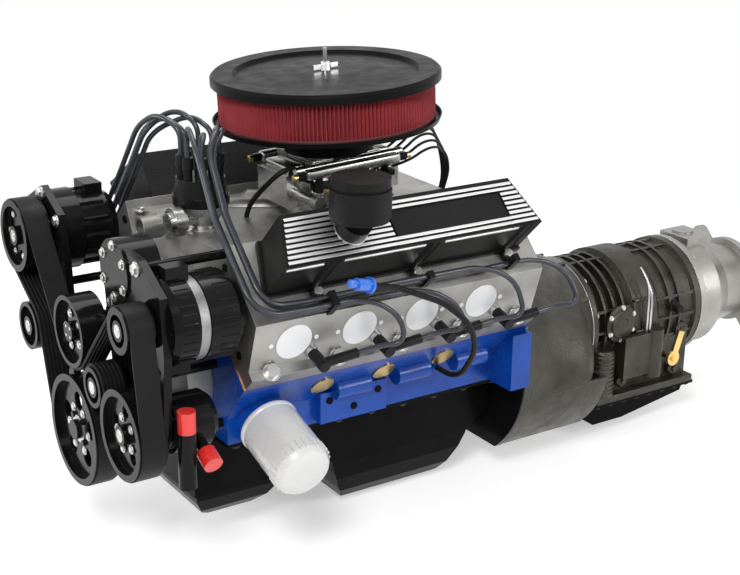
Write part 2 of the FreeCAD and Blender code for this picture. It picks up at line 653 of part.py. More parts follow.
def bolt_x(number):
    """The place of a head bolt on the ledge, one at each end of the row and between all bores."""
    return f"({bore_x(number)}) - bore_spacing / 2" if number < 4 else f"({bore_x(3)}) + bore_spacing / 2"


def slant(piece, bank, out, x, u, v):
    """Seat a piece, drawn along z, on the slanted exhaust face: out is how far along its normal."""
    angle = math.degrees(math.atan2(size("head_height") - size("ledge_rise"),
                                    size("ledge_inner") - size("port_face_top")))
    piece.Placement.Rotation = FreeCAD.Rotation(VECTOR(1, 0, 0), -bank * angle)
    return seat(piece, x, f"{bank} * ({u} + ({out}) * sin({angle:.6f}))", f"{v} + ({out}) * cos({angle:.6f})")


def port_rod(radius, start, end, x, bank):
    """A round piece square to the exhaust face at a port."""
    piece = doc.addObject("Part::Cylinder", "port")
    bind(piece, "Radius", radius)
    bind(piece, "Height", f"({end}) - ({start})")
    return slant(piece, bank, start, x, "(ledge_inner + port_face_top) / 2",
                 f"{HEAD_BASE} + (ledge_rise + head_height) / 2")


def plug_rod(radius, start, end, x, bank):
    """A round piece on a spark plug's axis, low on the exhaust face."""
    piece = doc.addObject("Part::Cylinder", "plug")
    bind(piece, "Radius", radius)
    bind(piece, "Height", f"({end}) - ({start})")
    return slant(piece, bank, start, f"({x}) + plug_shift", "(ledge_inner * 4 + port_face_top) / 5",
                 f"{HEAD_BASE} + (ledge_rise * 4 + head_height) / 5")


def head_gaskets():
    """A thin gasket under each head, with a bore hole for each cylinder and a tab at the front."""
    pieces = []
    for bank in (LEFT, RIGHT):
        offset = "0" if bank == LEFT else "bank_offset"
        low, high = ("-deck_outer", "deck_inner") if bank == LEFT else ("-deck_inner", "deck_outer")
        plate = box(f"-head_front - 1.5 - {offset}", f"-head_rear - {offset}", low, high, "deck_height",
                    HEAD_BASE)
        holes = [seat_rod("bore_radius + 1", "deck_height - 1", f"{HEAD_BASE} + 1",
                          f"({bore_x(number)}) - {offset}", "0")
                 for number in range(4)]
        for number in range(4):
            for spread in ("-valve_spread", "valve_spread"):
                holes.append(lifter_line("pushrod_radius + 2", "lifter_start + lifter_length + 20",
                                         "lifter_start + lifter_length + 90",
                                         f"({bore_x(number)}) - {offset} + {spread}", bank))
        for number in range(5):
            holes.append(seat_rod("head_bolt_radius + 0.6", "deck_height - 1", f"{HEAD_BASE} + 1",
                                  f"({bolt_x(number)}) - {offset}", bank_y(bank, "bolt_line")))
        pieces.append(on_bank(bank, [cut(plate, *holes)]))
    node("head_gaskets", *pieces)


def bolts():
    """Flanged head bolts on both ledges, and the valve cover bolts."""
    pieces = []
    for bank in (LEFT, RIGHT):
        offset = "0" if bank == LEFT else "bank_offset"
        row = []
        for number in range(5):
            x, y = f"({bolt_x(number)}) - {offset}", bank_y(bank, "bolt_line")
            ledge = f"{HEAD_BASE} + ledge_rise"
            row.append(fuse(seat_rod("head_bolt_radius", "deck_height + 0.2", f"{ledge}", x, y),
                            seat_rod("bolt_head + 2.5", ledge, f"{ledge} + 2.5", x, y),
                            seat_rod("bolt_head - 1", f"{ledge} + 2.5", f"{ledge} + bolt_head_rise + 2", x,
                                     y)))
        top = f"{HEAD_BASE} + head_height"
        for x in COVER_BOLTS:
            place = f"{x} - {offset}"
            y = bank_y(bank, "-cover_bolt_line")
            row.append(fuse(seat_rod("3.9", f"{top} + 0.2", f"{top} + 8", place, y),
                            seat_rod("7", f"{top} + 8", f"{top} + 14", place, y)))
        pieces.append(on_bank(bank, row))
    node("head_and_cover_bolts", *pieces)


COVER_BOLTS = ("-411", "-238", "-67")


def valve_gear():
    """Lifters, pushrods and rocker arms for all sixteen valves."""
    pieces = []
    for bank in (LEFT, RIGHT):
        offset = "0" if bank == LEFT else "bank_offset"
        row = []
        for number in range(4):
            for spread in ("-valve_spread", "valve_spread"):
                x = f"({bore_x(number)}) - {offset} + {spread}"
                row.append(lifter_line("lifter_radius", "lifter_start", "lifter_start + lifter_length", x,
                                       bank))
                row.append(lifter_line("pushrod_radius", "lifter_start + lifter_length", "pushrod_end", x,
                                       bank))
                arm = doc.addObject("Part::Box", "arm")
                arm.Length = 14
                bind(arm, "Width", "rocker_span")
                arm.Height = 12
                low = bank_y(bank, "-rocker_inner") if bank == RIGHT else bank_y(bank,
                    "rocker_span - rocker_inner")
                row.append(seat(arm, f"{x} - 7", low, "rocker_rise"))
        pieces.append(on_bank(bank, row))
    node("valve_gear", *pieces, *valves())


VALVE_TILT = 7.4


def valve_rod(radius, start, end, x, bank):
    """A round piece on an inclined valve's axis, measured up from the head's lower face."""
    piece = doc.addObject("Part::Cylinder", "valve")
    bind(piece, "Radius", radius)
    bind(piece, "Height", f"({end}) - ({start})")
    return incline(piece, start, x, bank)


def incline(piece, start, x, bank):
    """Seat a piece, drawn along z, on a valve's axis."""
    piece.Placement.Rotation = FreeCAD.Rotation(VECTOR(1, 0, 0), VALVE_TILT * bank)
    return seat(piece, x, f"{bank} * (-valve_foot - ({start}) * sin({VALVE_TILT}))",
                f"{HEAD_BASE} + ({start}) * cos({VALVE_TILT})")


def valves():
    """Sixteen inclined poppet valves, each with its spring and retainer."""
    pieces = []
    for bank in (LEFT, RIGHT):
        offset = "0" if bank == LEFT else "bank_offset"
        row = []
        for number in range(4):
            for spread in ("-valve_spread", "valve_spread"):
                x = f"({bore_x(number)}) - {offset} + {spread}"
                head = doc.addObject("Part::Cone", "valve_head")
                head.Radius1, head.Radius2, head.Height = 18.5, 6, 6
                row.append(fuse(valve_rod("4.3", "5", "valve_tip", x, bank), incline(head, "3", x, bank)))
                row.append(cut(valve_rod("12", "valve_floor", "valve_tip - 6", x, bank),
                               valve_rod("8.5", "valve_floor - 1", "valve_tip - 5", x, bank)))
                row.append(cut(valve_rod("12.5", "valve_tip - 6", "valve_tip - 2", x, bank),
                               valve_rod("4.3", "valve_tip - 7", "valve_tip", x, bank)))
        pieces.append(on_bank(bank, row))
    return pieces


def valve_cover(bank, label):
    """A tall cast cover: narrower towards its inner side, fins on top, bolt channels in its outer wall."""
    base = f"{HEAD_BASE} + head_height"
    top = f"{base} + cover_height"
    shell = cut(prism(cover_contour(bank, "cover_draft / 2"), base, top, "z"),
                prism(cover_contour(bank, "cover_draft / 2 + cover_wall"), f"{base} - 1",
                      f"{top} - cover_wall", "z"))
    flange = cut(prism(cover_contour(bank, "0"), base, f"{base} + 8", "z"),
                 prism(cover_contour(bank, "cover_draft / 2 + cover_wall"), f"{base} - 1", f"{base} + 9",
                       "z"))
    bolt_y = bank_y(bank, "-cover_bolt_line")
    wall = bank_y(bank, "-cover_outer - cover_draft / 2 - cover_wall")
    outside = bank_y(bank, "20")
    ears, walls, channels = [], [], []
    for x in COVER_BOLTS:
        low, high = (wall, outside) if bank == RIGHT else (outside, wall)
        slab = box(f"{x} - 16", f"{x} + 16", low, high, f"{base} - 1", f"{top} + 1")
        ears.append(keep(rod("9.5", base, f"{base} + 8", x, bolt_y, "z"), slab))
        walls.append(keep(rod("13.5", base, top, x, bank_y(bank, "-cover_outer - 12"), "z"), slab))
        channels.append(rod("9.5", f"{base} + 8", f"{top} + 1", x, bank_y(bank, "-cover_bolt_line + 2"), "z"))
        channels.append(rod("4.1", f"{base} - 1", f"{base} + 9", x, bolt_y, "z"))
    fins = []
    for number in range(int(size("fin_count"))):
        middle = f"(cover_outer + cover_draft / 2 + fin_pitch * ({number} + 0.75))"
        y0 = bank_y(bank, f"-{middle}") + " - fin_width / 2"
        inset = f"10 + {number} * 2.4"
        fins.append(box(f"-cover_front + {inset}", f"-cover_rear - ({inset})", y0, f"{y0} + fin_width",
                        f"{top} - 0.5", f"{top} + fin_height"))
    shape = cut(fuse(shell, flange, *walls, *ears), *channels)
    if bank == LEFT:
        plate = ("-plate_front", "-plate_rear", "cover_outer + 4", "plate_inner")
        space = box(*plate, f"{top} + 0.01", f"{top} + fin_height + 1")
        panel = box("-plate_front + 4", "-plate_rear - 4", "cover_outer + 8", "plate_inner - 4", f"{top} - 1",
                    f"{top} + fin_height - 1")
        tower = rod("26", f"{top} - 1", f"{top} + fin_height + 0.5", "breather_x", "breather_line", "z")
        hole = rod("14", f"{top} - 12", f"{top} + fin_height + 2", "breather_x", "breather_line", "z")
        shape = cut(fuse(shape, cut(fuse(*fins), space), panel, tower), hole)
    else:
        shape = fuse(shape, *fins)
    node(label, shape, bank=bank)


def cover_contour(bank, shrink):
    """The outline of a cover in its bank's frame, drawn in by a distance."""
    corners = (("-cover_front", 1, "-cover_outer", -1), ("-cover_rear", -1, "-cover_outer", -1),
               ("-cover_rear - cover_clip", -1, "-cover_inner", 1), ("-cover_front + cover_clip", 1,
                    "-cover_inner", 1))
    return [(f"{x} + {across} * ({shrink})", bank_y(bank, f"{u} + {inward} * ({shrink})"))
            for x, across, u, inward in corners]


def intake_manifold():
    """The valley manifold between the heads, with its carburettor pad, and the thermostat housing."""
    inner = f"(deck_inner + 6)"
    lean = "(rail_inner - deck_inner - 6) / (head_height - intake_foot)"
    def face(bank, v, gap):
        u = f"(-{inner} - ({v} - {HEAD_BASE} - intake_foot) * {lean} - {gap})"
        return (f"{bank} * ({u} + {v}) * bank_cosine", f"({v} - {u}) * bank_cosine")
    low = f"({HEAD_BASE} + intake_foot + 2)"
    high = f"({HEAD_BASE} + head_height - 14)"
    section = [face(LEFT, low, "0.2"), face(LEFT, high, "0.2"), face(RIGHT, high, "0.2"),
               face(RIGHT, low, "0.2")]
    body = prism(section, "-block_length + 6", "-40")
    pad = rod("72", "-62", "0", "0", "0", "z")
    pad_block = tilted(pad, "carb_tilt", (0, 1, 0), "carb_x", "0", CARB_BASE)
    boss = rod("30", "205", BODY_SEAT, "distributor_x", "0", "z")
    ends = [box("-block_length + 1", "-block_length + 16", "-96", "96", "198.4", "222"),
            box("-45", "-1", "-96", "96", "198.4", "222")]
    holes = [rod("distributor_shaft + 8", "150", f"{BODY_SEAT} + 1", "distributor_x", "0", "z")]
    for bank in (LEFT, RIGHT):
        for number in range(4):
            offset = "0" if bank == LEFT else "bank_offset"
            holes.append(rod("15", "0", "140", f"({bore_x(number)}) + 24 - {offset}", "245",
                             "y") if bank == RIGHT
                         else rod("15", "-140", "0", f"({bore_x(number)}) + 24", "245", "y"))
    for side in (-1, 1):
        for end in (-1, 1):
            holes.append(tilted(rod("throat_radius", "-60", "1", f"{end} * throat_spread_x",
                                    f"{side} * throat_spread_y",
                                    "z"), "carb_tilt", (0, 1, 0), "carb_x", "0", CARB_BASE))
    neck = fuse(rod("22", "262", "300", "-block_length + 8", "42", "z"),
                rod("18", "-block_length - 42", "-block_length + 8", "42", "280"))
    holes.append(rod("14", "-block_length - 43", "-block_length + 8", "42", "280"))
    node("intake_manifold", cut(fuse(body, pad_block, boss, neck, *ends), *holes))


def carburettor():
    """A four-barrel throttle body on its pad, with an open inlet ring and a stud for the air cleaner."""
    body = box("-74", "74", "-62", "62", "0", "46")
    upper = box("-62", "62", "-54", "54", "46", "76")
    inlet = rod("inlet_radius", "76", "carb_height", "0", "0", "z")
    bowls = [box("-104", "-74", "-44", "44", "8", "58"), box("74", "100", "-44", "44", "8", "58")]
    side_boxes = [box("-30", "34", "-82", "-62", "10", "44"), box("-24", "22", "62", "80", "14", "40")]
    tools = [rod("inlet_radius - 5", "60", "carb_height + 1", "0", "0", "z")]
    for end in (-1, 1):
        for side in (-1, 1):
            tools.append(rod("throat_radius", "-1", "61", f"{end} * throat_spread_x",
                             f"{side} * throat_spread_y", "z"))
        tools.append(rod("throttle_shaft + run_gap", "-90", "90", f"{end} * throat_spread_x", "shaft_rise",
                         "y"))
    stud = rod("stud_radius", "50", "cleaner_base_rise + filter_height + 40", "0", "0", "z")
    bridge = box("-inlet_radius + 2", "inlet_radius - 2", "-5", "5", "54", "64")
    rail = rod("6", "-96", "96", "-58", "68", "x")
    fitting = fuse(rod("8", "-100", "-42", "-88", "30", "y"), rod("11", "-116", "-100", "-88", "30", "y"))
    whole = fuse(cut(fuse(body, upper, inlet, *bowls, *side_boxes), *tools), bridge, stud, rail, fitting)
    node("carburettor", tilted(whole, "carb_tilt", (0, 1, 0), "carb_x", "0", CARB_BASE))


def throttle_plates():
    """Two throttle shafts, each with its pair of round plates."""
    for end, label in ((-1, "throttle_plates_front"), (1, "throttle_plates_rear")):
        shaft = rod("throttle_shaft", "-88", "88", f"{end} * throat_spread_x", "shaft_rise", "y")
        plates = [rod("throat_radius - 0.3", "shaft_rise - 1", "shaft_rise + 1", f"{end} * throat_spread_x",
                      f"{side} * throat_spread_y", "z") for side in (-1, 1)]
        lever = box(f"{end} * throat_spread_x - 5", f"{end} * throat_spread_x + 5", "-88", "-85",
                    "shaft_rise - 8", "shaft_rise + 26")
        node(label, tilted(fuse(shaft, lever, *plates), "carb_tilt", (0, 1, 0), "carb_x", "0", CARB_BASE))


def air_cleaner():
    """The base pan, the pleated element, the lid and its wing nut, all in the carburettor's tilted frame."""
    rim = "cleaner_base_rise"
    base = turned([("carb_height - 14", "inlet_radius + run_gap"), ("carb_height - 14", "inlet_radius + 6"),
                   (f"{rim} - 18", "inlet_radius + 8"), (f"{rim} - 2", "cleaner_radius - 24"),
                   (f"{rim} - 2", "cleaner_radius - 3"), (f"{rim} + 6", "cleaner_radius"),
                   (f"{rim} + 6", "cleaner_radius - 2"), (f"{rim}", "cleaner_radius - 5"),
                   (f"{rim}", "cleaner_radius - 26"), (f"{rim} - 14", "inlet_radius + 6"),
                   (f"{rim} - 14", "inlet_radius + run_gap")], "0", "0", "z")
    element = ring("filter_radius", "filter_radius - filter_wall", rim, f"{rim} + filter_height", "0", "0",
                   "z")
    top = f"{rim} + filter_height"
    lid = turned([(f"{top} - 8", "cleaner_radius - 1.6"), (f"{top} - 8", "cleaner_radius"),
                  (f"{top} + 3", "cleaner_radius"), (f"{top} + 7", "cleaner_radius - 4"),
                  (f"{top} + 7", "cleaner_radius - 34"), (f"{top} + 1.5", "cleaner_radius - 38"),
                  (f"{top} + 6", "40"), (f"{top} + 6", "stud_radius + run_gap"),
                  (f"{top} + 4", "stud_radius + run_gap"), (f"{top} + 4", "40"), (f"{top}",
                    "cleaner_radius - 38"),
                  (f"{top}", "cleaner_radius - 1.6")], "0", "0", "z")
    hub = turned([(f"{top} + 6", "stud_radius + run_gap"), (f"{top} + 6", "9"), (f"{top} + 18", "7"),
                  (f"{top} + 18", "stud_radius + run_gap")], "0", "0", "z")
    wings = [tilted(box("6", "22", "-1.6", "1.6", "8", "15"), angle, (0, 0, 1), "0", "0",
                    top) for angle in ("0", "180")]
    for label, piece in (("air_cleaner_base", base), ("air_filter", element), ("air_cleaner_lid", lid),
                         ("wing_nut", fuse(hub, *wings))):
        node(label, tilted(piece, "carb_tilt", (0, 1, 0), "carb_x", "0", CARB_BASE))


def breather():
    """A push-in breather on the left cover: a stem square to the cover, the can upright above it."""
    top = "(deck_height + gasket_thick + head_height + cover_height + fin_height + 0.53)"
    y = f"-({top} - breather_line) * bank_cosine"
    z = f"({top} + breather_line) * bank_cosine"
    stem = doc.addObject("Part::Cylinder", "stem")
    stem.Radius = 13.8
    stem.Height = 22
    collar = doc.addObject("Part::Cylinder", "collar")
    collar.Radius = 24
    collar.Height = 22
    stem.Placement = FreeCAD.Placement(VECTOR(0, 0, -14), FreeCAD.Rotation())
    square = tilted(fuse(stem, collar), "45", (1, 0, 0), "breather_x", y, z)
    low = f"{z} + 19"
    can = fuse(rod("breather_radius", f"{low} + 6", f"{low} + breather_height - 16", "breather_x",
                   f"{y} - 23", "z"),
               rod("breather_radius - 3", low, f"{low} + 7", "breather_x", f"{y} - 23", "z"),
               rod("breather_radius - 4", f"{low} + breather_height - 17", f"{low} + breather_height - 12",
                   "breather_x",
                   f"{y} - 23", "z"),
               rod("breather_radius - 1.5", f"{low} + breather_height - 12", f"{low} + breather_height",
                   "breather_x",
                   f"{y} - 23", "z"))
    node("breather", fuse(square, can))


def exhaust_dressing():
    """The round covers over the exhaust ports, and the spark plugs."""
    covers, plugs = [], []
    for bank in (LEFT, RIGHT):
        offset = "0" if bank == LEFT else "bank_offset"
        cover_row, plug_row = [], []
        for number in range(4):
            x = f"({bore_x(number)}) - {offset}"
            disc = port_rod("port_cover_radius", "0", "port_cover_thick", f"{x} - port_shift", bank)
            cover_row.append(disc)
            for spread in ("-37.4", "37.4"):
                cover_row.append(port_rod("3.6", "0", "1.2", f"{x} - port_shift + {spread}", bank))
            plug_row.append(fuse(plug_rod("6.8", "-30", "1", x, bank), plug_rod("10", "0", "9", x, bank),
                                 plug_rod("5.5", "9", "38", x, bank)))
        covers.append(on_bank(bank, cover_row))
        plugs.append(on_bank(bank, plug_row))
    node("port_covers", *covers)
    node("spark_plugs", *plugs)


def distributor():
    """Distributor body with its vacuum canister, the towered cap, and the rotor on its driven shaft."""
    x = "distributor_x"
    rim = CAP_SEAT
    housing = fuse(rod("distributor_shaft + 7.8", "cam_rise + 45", BODY_SEAT, x, "0", "z"),
                   rod("24", BODY_SEAT, f"{BODY_SEAT} + 5", x, "0", "z"),
                   cone("24", "34", f"{BODY_SEAT} + 5", f"{rim} - 12", x, "0", "z"),
                   rod("distributor_radius - 2", f"{rim} - 12", rim, x, "0", "z"))
    canister = fuse(rod("22", f"{x} - 62", f"{x} - 46", "-24", f"{rim} - 17"),
                    rod("15", f"{x} - 68", f"{x} - 40", "-24", f"{rim} - 17"),
                    box(f"{x} - 46", f"{x} - 20", "-30", "-16", f"{rim} - 22", f"{rim} - 12"))
    body = cut(fuse(housing, canister), rod("distributor_shaft + run_gap", "cam_rise", f"{rim} + 1", x, "0",
                                            "z"),
               rod("distributor_radius - 8", f"{rim} - 8", f"{rim} + 1", x, "0", "z"))
    node("distributor_body", body)
    top = f"{rim} + distributor_cap_height - 24"
    shell = cut(fuse(rod("distributor_radius", rim, f"{rim} + 14", x, "0", "z"),
                     cone("distributor_radius - 2", "distributor_radius - 6", f"{rim} + 14", top, x, "0",
                          "z")),
                rod("distributor_radius - 8", f"{rim} - 1", f"{top} - 5", x, "0", "z"))
    towers = [rod("tower_radius + 1", f"{top} - 1", f"{top} + tower_height - 4", x, "0", "z")]
    for index in range(8):
        angle = 22.5 + 45 * index
        towers.append(rod("tower_radius", f"{top} - 1", f"{top} + tower_height - 8",
                          f"{x} + 28 * cos({angle})",
                          f"28 * sin({angle})", "z"))
    node("distributor_cap", fuse(shell, *towers))
    rotor = fuse(rod("distributor_shaft", "cam_rise + cam_lobe + 0.7", f"{rim} + 12", x, "0", "z"),
                 rod("9", "cam_rise + cam_lobe + 0.9", "cam_rise + cam_lobe + 15", x, "0", "z"),
                 rod("14", f"{rim} + 6", f"{rim} + 24", x, "0", "z"),
                 box(x, f"{x} + 30", "-5", "5", f"{rim} + 18", f"{rim} + 24"))
    node("distributor_rotor", rotor)


def cord(points, radius, least=24.0):
    """A tube of straight runs and tangent arcs through world points."""
    count = len(points)
    edges, start, report = [], VECTOR(*points[0]), []
    for index in range(1, count - 1):
        before, here, after = (VECTOR(*points[index + step]) for step in (-1, 0, 1))
        run_in, run_out = here - before, after - here
        half = run_in.getAngle(run_out) / 2
        trim = 0.45 * min(run_in.Length, run_out.Length)
        bend = trim / math.tan(half)
        if bend > 4 * least:
            bend = 4 * least
            trim = bend * math.tan(half)
        run_in.normalize()
        run_out.normalize()
        enter, leave = here - run_in * trim, here + run_out * trim
        inward = (run_out - run_in).normalize()
        middle = here + inward * (bend / math.cos(half) - bend)
        edges.append(Part.LineSegment(start, enter).toShape())
        edges.append(Part.Arc(enter, middle, leave).toShape())
        start = leave
        report.append(bend)
    edges.append(Part.LineSegment(start, VECTOR(*points[-1])).toShape())
    path = Part.Wire(edges)
    direction = VECTOR(*points[1]) - VECTOR(*points[0])
    section = Part.Wire([Part.Circle(VECTOR(*points[0]), direction, radius).toShape()])
    tube = path.makePipeShell([section], True, False)
    want = math.pi * radius ** 2 * path.Length
    bends = " ".join(f"{bend:.0f}" for bend in report)
    print(f"cord: length {path.Length:.1f}, volume ratio {tube.Volume / want:.4f}, bends {bends}")
    return tube


def bank_point(bank, x, u, v):
    """World numbers of a point given along the crank, outboard and up a bank's bore axis."""
    c = size("bank_cosine")
    shift = size("bank_offset") if bank == RIGHT else 0.0
    return (x - shift, bank * (u + v) * c, (v - u) * c)


LANES = ((19.0, 20.5), (19.0, 9.5), (7.0, 20.5), (7.0, 9.5))
COMBS = ((-402.0, (0, 1, 2, 3)), (-231.0, (2, 3)), (-71.0, (3,)))


def lane(number):
    """How far outboard and how high up the bank a lead lies, measured past the head's cover rail."""
    u, rise = LANES[number]
    return u, size("deck_height") + size("gasket_thick") + size("head_height") + rise


def lane_points(number):
    """The part of a lead that lies along its head, as (x, outboard, up) from front to rear."""
    u, v = lane(number)
    end = loop_start(number)
    stops = [x for x in (-316.0, -151.0) if x < end - 40]
    return [(-440.0, u, v)] + [(x, u, v + (3.0 if index % 2 == 0 else -2.0)) for index,
                               x in enumerate(stops)] + \
        [(end, u, v)]


def loop_start(number):
    """Where a lead leaves its lane to loop down to its plug."""
    return -(size("rear_bore_gap") + (3 - number) * size("bore_spacing")) + 60.0


def lane_height(number, x):
    """How high a lead lies at a place along its lane."""
    points = lane_points(number)
    for first, second in zip(points, points[1:]):
        if first[0] <= x <= second[0]:
            return first[2] + (second[2] - first[2]) * (x - first[0]) / (second[0] - first[0])
    return lane(number)[1]


def plug_axis(bore, out):
    """The outboard and up numbers of a point on a spark plug's axis."""
    angle = math.atan2(size("head_height") - size("ledge_rise"), size("ledge_inner") - size("port_face_top"))
    u = (size("ledge_inner") * 4 + size("port_face_top")) / 5
    v = size("deck_height") + size("gasket_thick") + (size("ledge_rise") * 4 + size("head_height")) / 5
    return bore + size("plug_shift"), u + out * math.sin(angle), v + out * math.cos(angle)


def plug_boot(bank, bore):
    """An elbow boot over a plug's insulator, with its neck along the head, and the neck's end point."""
    foot, tip = (VECTOR(*bank_point(bank, *plug_axis(bore, out))) for out in (10.5, 43.0))
    middle = VECTOR(*bank_point(bank, *plug_axis(bore, 33.0)))
    x, u, v = plug_axis(bore, 33.0)
    end = VECTOR(*bank_point(bank, x + 58.0, u - 2.0, v + 6.0))
    axis = tip - foot
    boot = Part.makeCylinder(9.0, axis.Length, foot, axis)
    neck = Part.makeCylinder(7.6, (end - middle).Length, middle, end - middle)
    hole = Part.makeCylinder(5.6, 28.0, foot, axis)
    beyond = end + (end - middle).normalize() * 36.0
    return boot.fuse(neck).cut(hole).removeSplitter(), end, beyond


def plug_leads():
    """Eight leads from the cap's towers, along both heads through their combs, to their boots."""
    tubes, boots, combs = [], [], []
    top = (size("deck_height") * size("bank_cosine") + size("seat_rise")
           + size("distributor_cap_height") - 24 + size("tower_height") - 8)
    for bank in (LEFT, RIGHT):
        for number in range(4):
            angle = math.radians(bank * (157.5 - 45 * number))
            foot = (size("distributor_x") + 28 * math.cos(angle), 28 * math.sin(angle))
            bore = -(size("rear_bore_gap") + (3 - number) * size("bore_spacing"))
            boot, end, beyond = plug_boot(bank, bore)
            u, v = lane(number)
            rail = v - LANES[number][1]
            front, over = (-18.0, 9.0 * number) if bank == LEFT else (-21.0, 6.5 * number)
            front -= size("block_length")
            drop = 8.0 * (number % 2)
            shift = size("bank_offset") if bank == RIGHT else 0.0
            points = [(foot[0], foot[1], top + 12), (foot[0], foot[1], top + 50 - drop),
                      (foot[0] - 18 + 2 * number, foot[1] + bank * 42, top + 68 - drop),
                      (front + 5 + over, bank * (94 - drop), top + 42 - drop),
                      (front + over, bank * (150 - drop), top - 38 - drop),
                      bank_point(bank, front + 6 + over + shift, u + 2, v + 14)]
            points += [bank_point(bank, *point) for point in lane_points(number)]
            loop = loop_start(number)
            points += [bank_point(bank, loop + 38, u + 12, v + 2),
                       bank_point(bank, loop + 72, u + 36, v - 10),
                       bank_point(bank, loop + 82, 86, rail - 17.5), tuple(beyond), tuple(end)]
            tubes.append(shaped(cord(points, size("lead_radius"))))
            boots.append(shaped(boot))
            tower = VECTOR(foot[0], foot[1], top - 6)
            boots.append(shaped(Part.makeCylinder(8.2, 18, tower, VECTOR(0, 0, 1)).cut(
                Part.makeCylinder(size("tower_radius"), 6, tower, VECTOR(0, 0, 1)))))
        row = []
        for x, lanes in COMBS:
            shift = size("bank_offset") if bank == RIGHT else 0.0
            width = max(LANES[lane][0] for lane in lanes) + 7
            low, high = (bank_y(bank, "2"), bank_y(bank, str(width)))[::bank]
            block = box(f"{x - shift} - 5", f"{x - shift} + 5", low, high,
                        "deck_height + gasket_thick + head_height",
                        "deck_height + gasket_thick + head_height + 30.5")
            holes = [rod("lead_radius + 0.4", f"{x - shift} - 6", f"{x - shift} + 6",
                         str(bank * LANES[lane][0]),
                         f"{lane_height(lane, x):.4f}") for lane in lanes]
            row.append(cut(block, *holes))
        combs.append(on_bank(bank, row))
    node("plug_wires", *tubes)
    node("wire_boots_and_combs", *boots, *combs)


DIPSTICK_ROUTE = ((-368, -288, 254), (-310, -274, 236), (-232, -278, 200), (-182, -282, 158),
                  (-156, -264, 104),
                  (-153, -226, 52), (-153, -198, 40), (-153, -162, 40))


def dipstick():
    """The dipstick's guide tube on the left side and the handle at its top end."""
    tube = shaped(cord(DIPSTICK_ROUTE, size("dipstick_radius"), 30.0))
    node("dipstick_tube", tube)
    first, second = VECTOR(*DIPSTICK_ROUTE[0]), VECTOR(*DIPSTICK_ROUTE[1])
    axis = (first - second).normalize()
    grip = Part.makeCylinder(9, 30, first, axis).fuse(Part.makeCylinder(12, 4, first, axis))
    grip = grip.fuse(Part.makeCylinder(6, 12, first + axis * 30, axis)).removeSplitter()
    node("dipstick", shaped(grip))


def pulley(label, y, z, radius, shaft_end, flange=3.0, holes=0, shaft="shaft_radius"):
    """A turned pulley with its web, hub and, behind it, the shaft it turns on."""
    front, back = PULLEY_FRONT, f"{PULLEY_FRONT} + pulley_width"
    profile = [(front, "0"), (front, "15"), (f"{front} + 10", "15"), (f"{front} + 10",
                    f"{radius} - pulley_wall"),
               (front, f"{radius} - pulley_wall"), (front, f"{radius} + {flange}"),
               (f"{front} + 2.5", f"{radius} + {flange}"), (f"{front} + 2.5", radius),
               (f"{back} - 2.5", radius), (f"{back} - 2.5", f"{radius} + {flange}"), (back,
                    f"{radius} + {flange}"),
               (back, f"{radius} - pulley_wall"), (f"{front} + 18",
                                                   f"{radius} - pulley_wall"), (f"{front} + 18", "15"),
               (back, "15"), (back, shaft), (shaft_end, shaft), (shaft_end, "0")]
    if not flange:
        profile = [point for index, point in enumerate(profile) if index not in (6, 7, 8, 9)]
    wheel = turned(profile, y, z)
    if holes:
        wheel = cut(wheel, *bolt_circle(f"({radius} - 24) / 4", f"({radius} + 8) / 2", holes, f"{front} + 8",
                                        f"{front} + 20", y, z, 20))
    if label:
        node(label, wheel)
    return wheel


def front_pulleys():
    """All pulleys of the belt drive; the crank's carries the damper behind it."""
    crank = pulley("", "0", "0", "crank_pulley_radius", f"{PULLEY_FRONT} + pulley_width + 1", holes=5)
    damper = rod("80", f"{BRACKET_FRONT} + 0.5", "-block_length - 78", "0", "0")
    hub = rod("26", f"{PULLEY_FRONT} + 10", "-block_length - 41", "0", "0")
    bolts_front = bolt_circle("4.5", "24", 4, f"{PULLEY_FRONT} + 6", f"{PULLEY_FRONT} + 11", "0", "0", 45)
    node("crank_pulley", cut(fuse(crank, damper, hub, *bolts_front),
                             rod("21", f"{PULLEY_FRONT} + 8", "-block_length - 40", "0", "0")))
    pulley("power_steering_pulley", "steering_y", "steering_z", "steering_pulley_radius",
           "-block_length - 78", holes=5)
    pulley("alternator_pulley", "alternator_y", "alternator_z", "alternator_pulley_radius",
           "-block_length - 38")
    pulley("ac_clutch_pulley", "cooling_y", "cooling_z", "cooling_pulley_radius", "-block_length - 78",
           holes=3)
    pulley("water_pump_pulley", "0", "pump_z", "pump_pulley_radius", "-block_length - 78", flange=0, holes=4)
    pulley("idler_pulley", "idler_y", "idler_z", "idler_radius", "-block_length - 126", flange=0)
    pulley("tensioner_pulley", "tensioner_y", "tensioner_z", "tensioner_radius", "-block_length - 126",
           flange=0)


def serpentine_belt():
    """The multi-rib belt round all seven pulleys."""
    wheels = []
    for y, z, radius, side in (
            (0.0, 0.0, "crank_pulley_radius", 1), ("tensioner_y", "tensioner_z", "tensioner_radius", -1),
            ("cooling_y", "cooling_z", "cooling_pulley_radius", 1), (0.0, "pump_z", "pump_pulley_radius", -1),
            ("alternator_y", "alternator_z", "alternator_pulley_radius", 1),
            ("steering_y", "steering_z", "steering_pulley_radius", 1), ("idler_y", "idler_z", "idler_radius",
                    -1)):
        y, z = (size(value) if isinstance(value, str) else value for value in (y, z))
        reach = size(radius) + size("soft_gap") + (size("belt_thick") if side < 0 else 0.0)
        wheels.append((y, z, reach, side))
    start = -size("block_length") - size("pulley_reach") + (size("pulley_width") - size("belt_width")) / 2
    outer = Part.Face(loop_wire(wheels, start, size("belt_thick")))
    inner = Part.Face(loop_wire(wheels, start, 0.0))
    node("serpentine_belt", shaped(outer.cut(inner).extrude(VECTOR(size("belt_width"), 0, 0))))


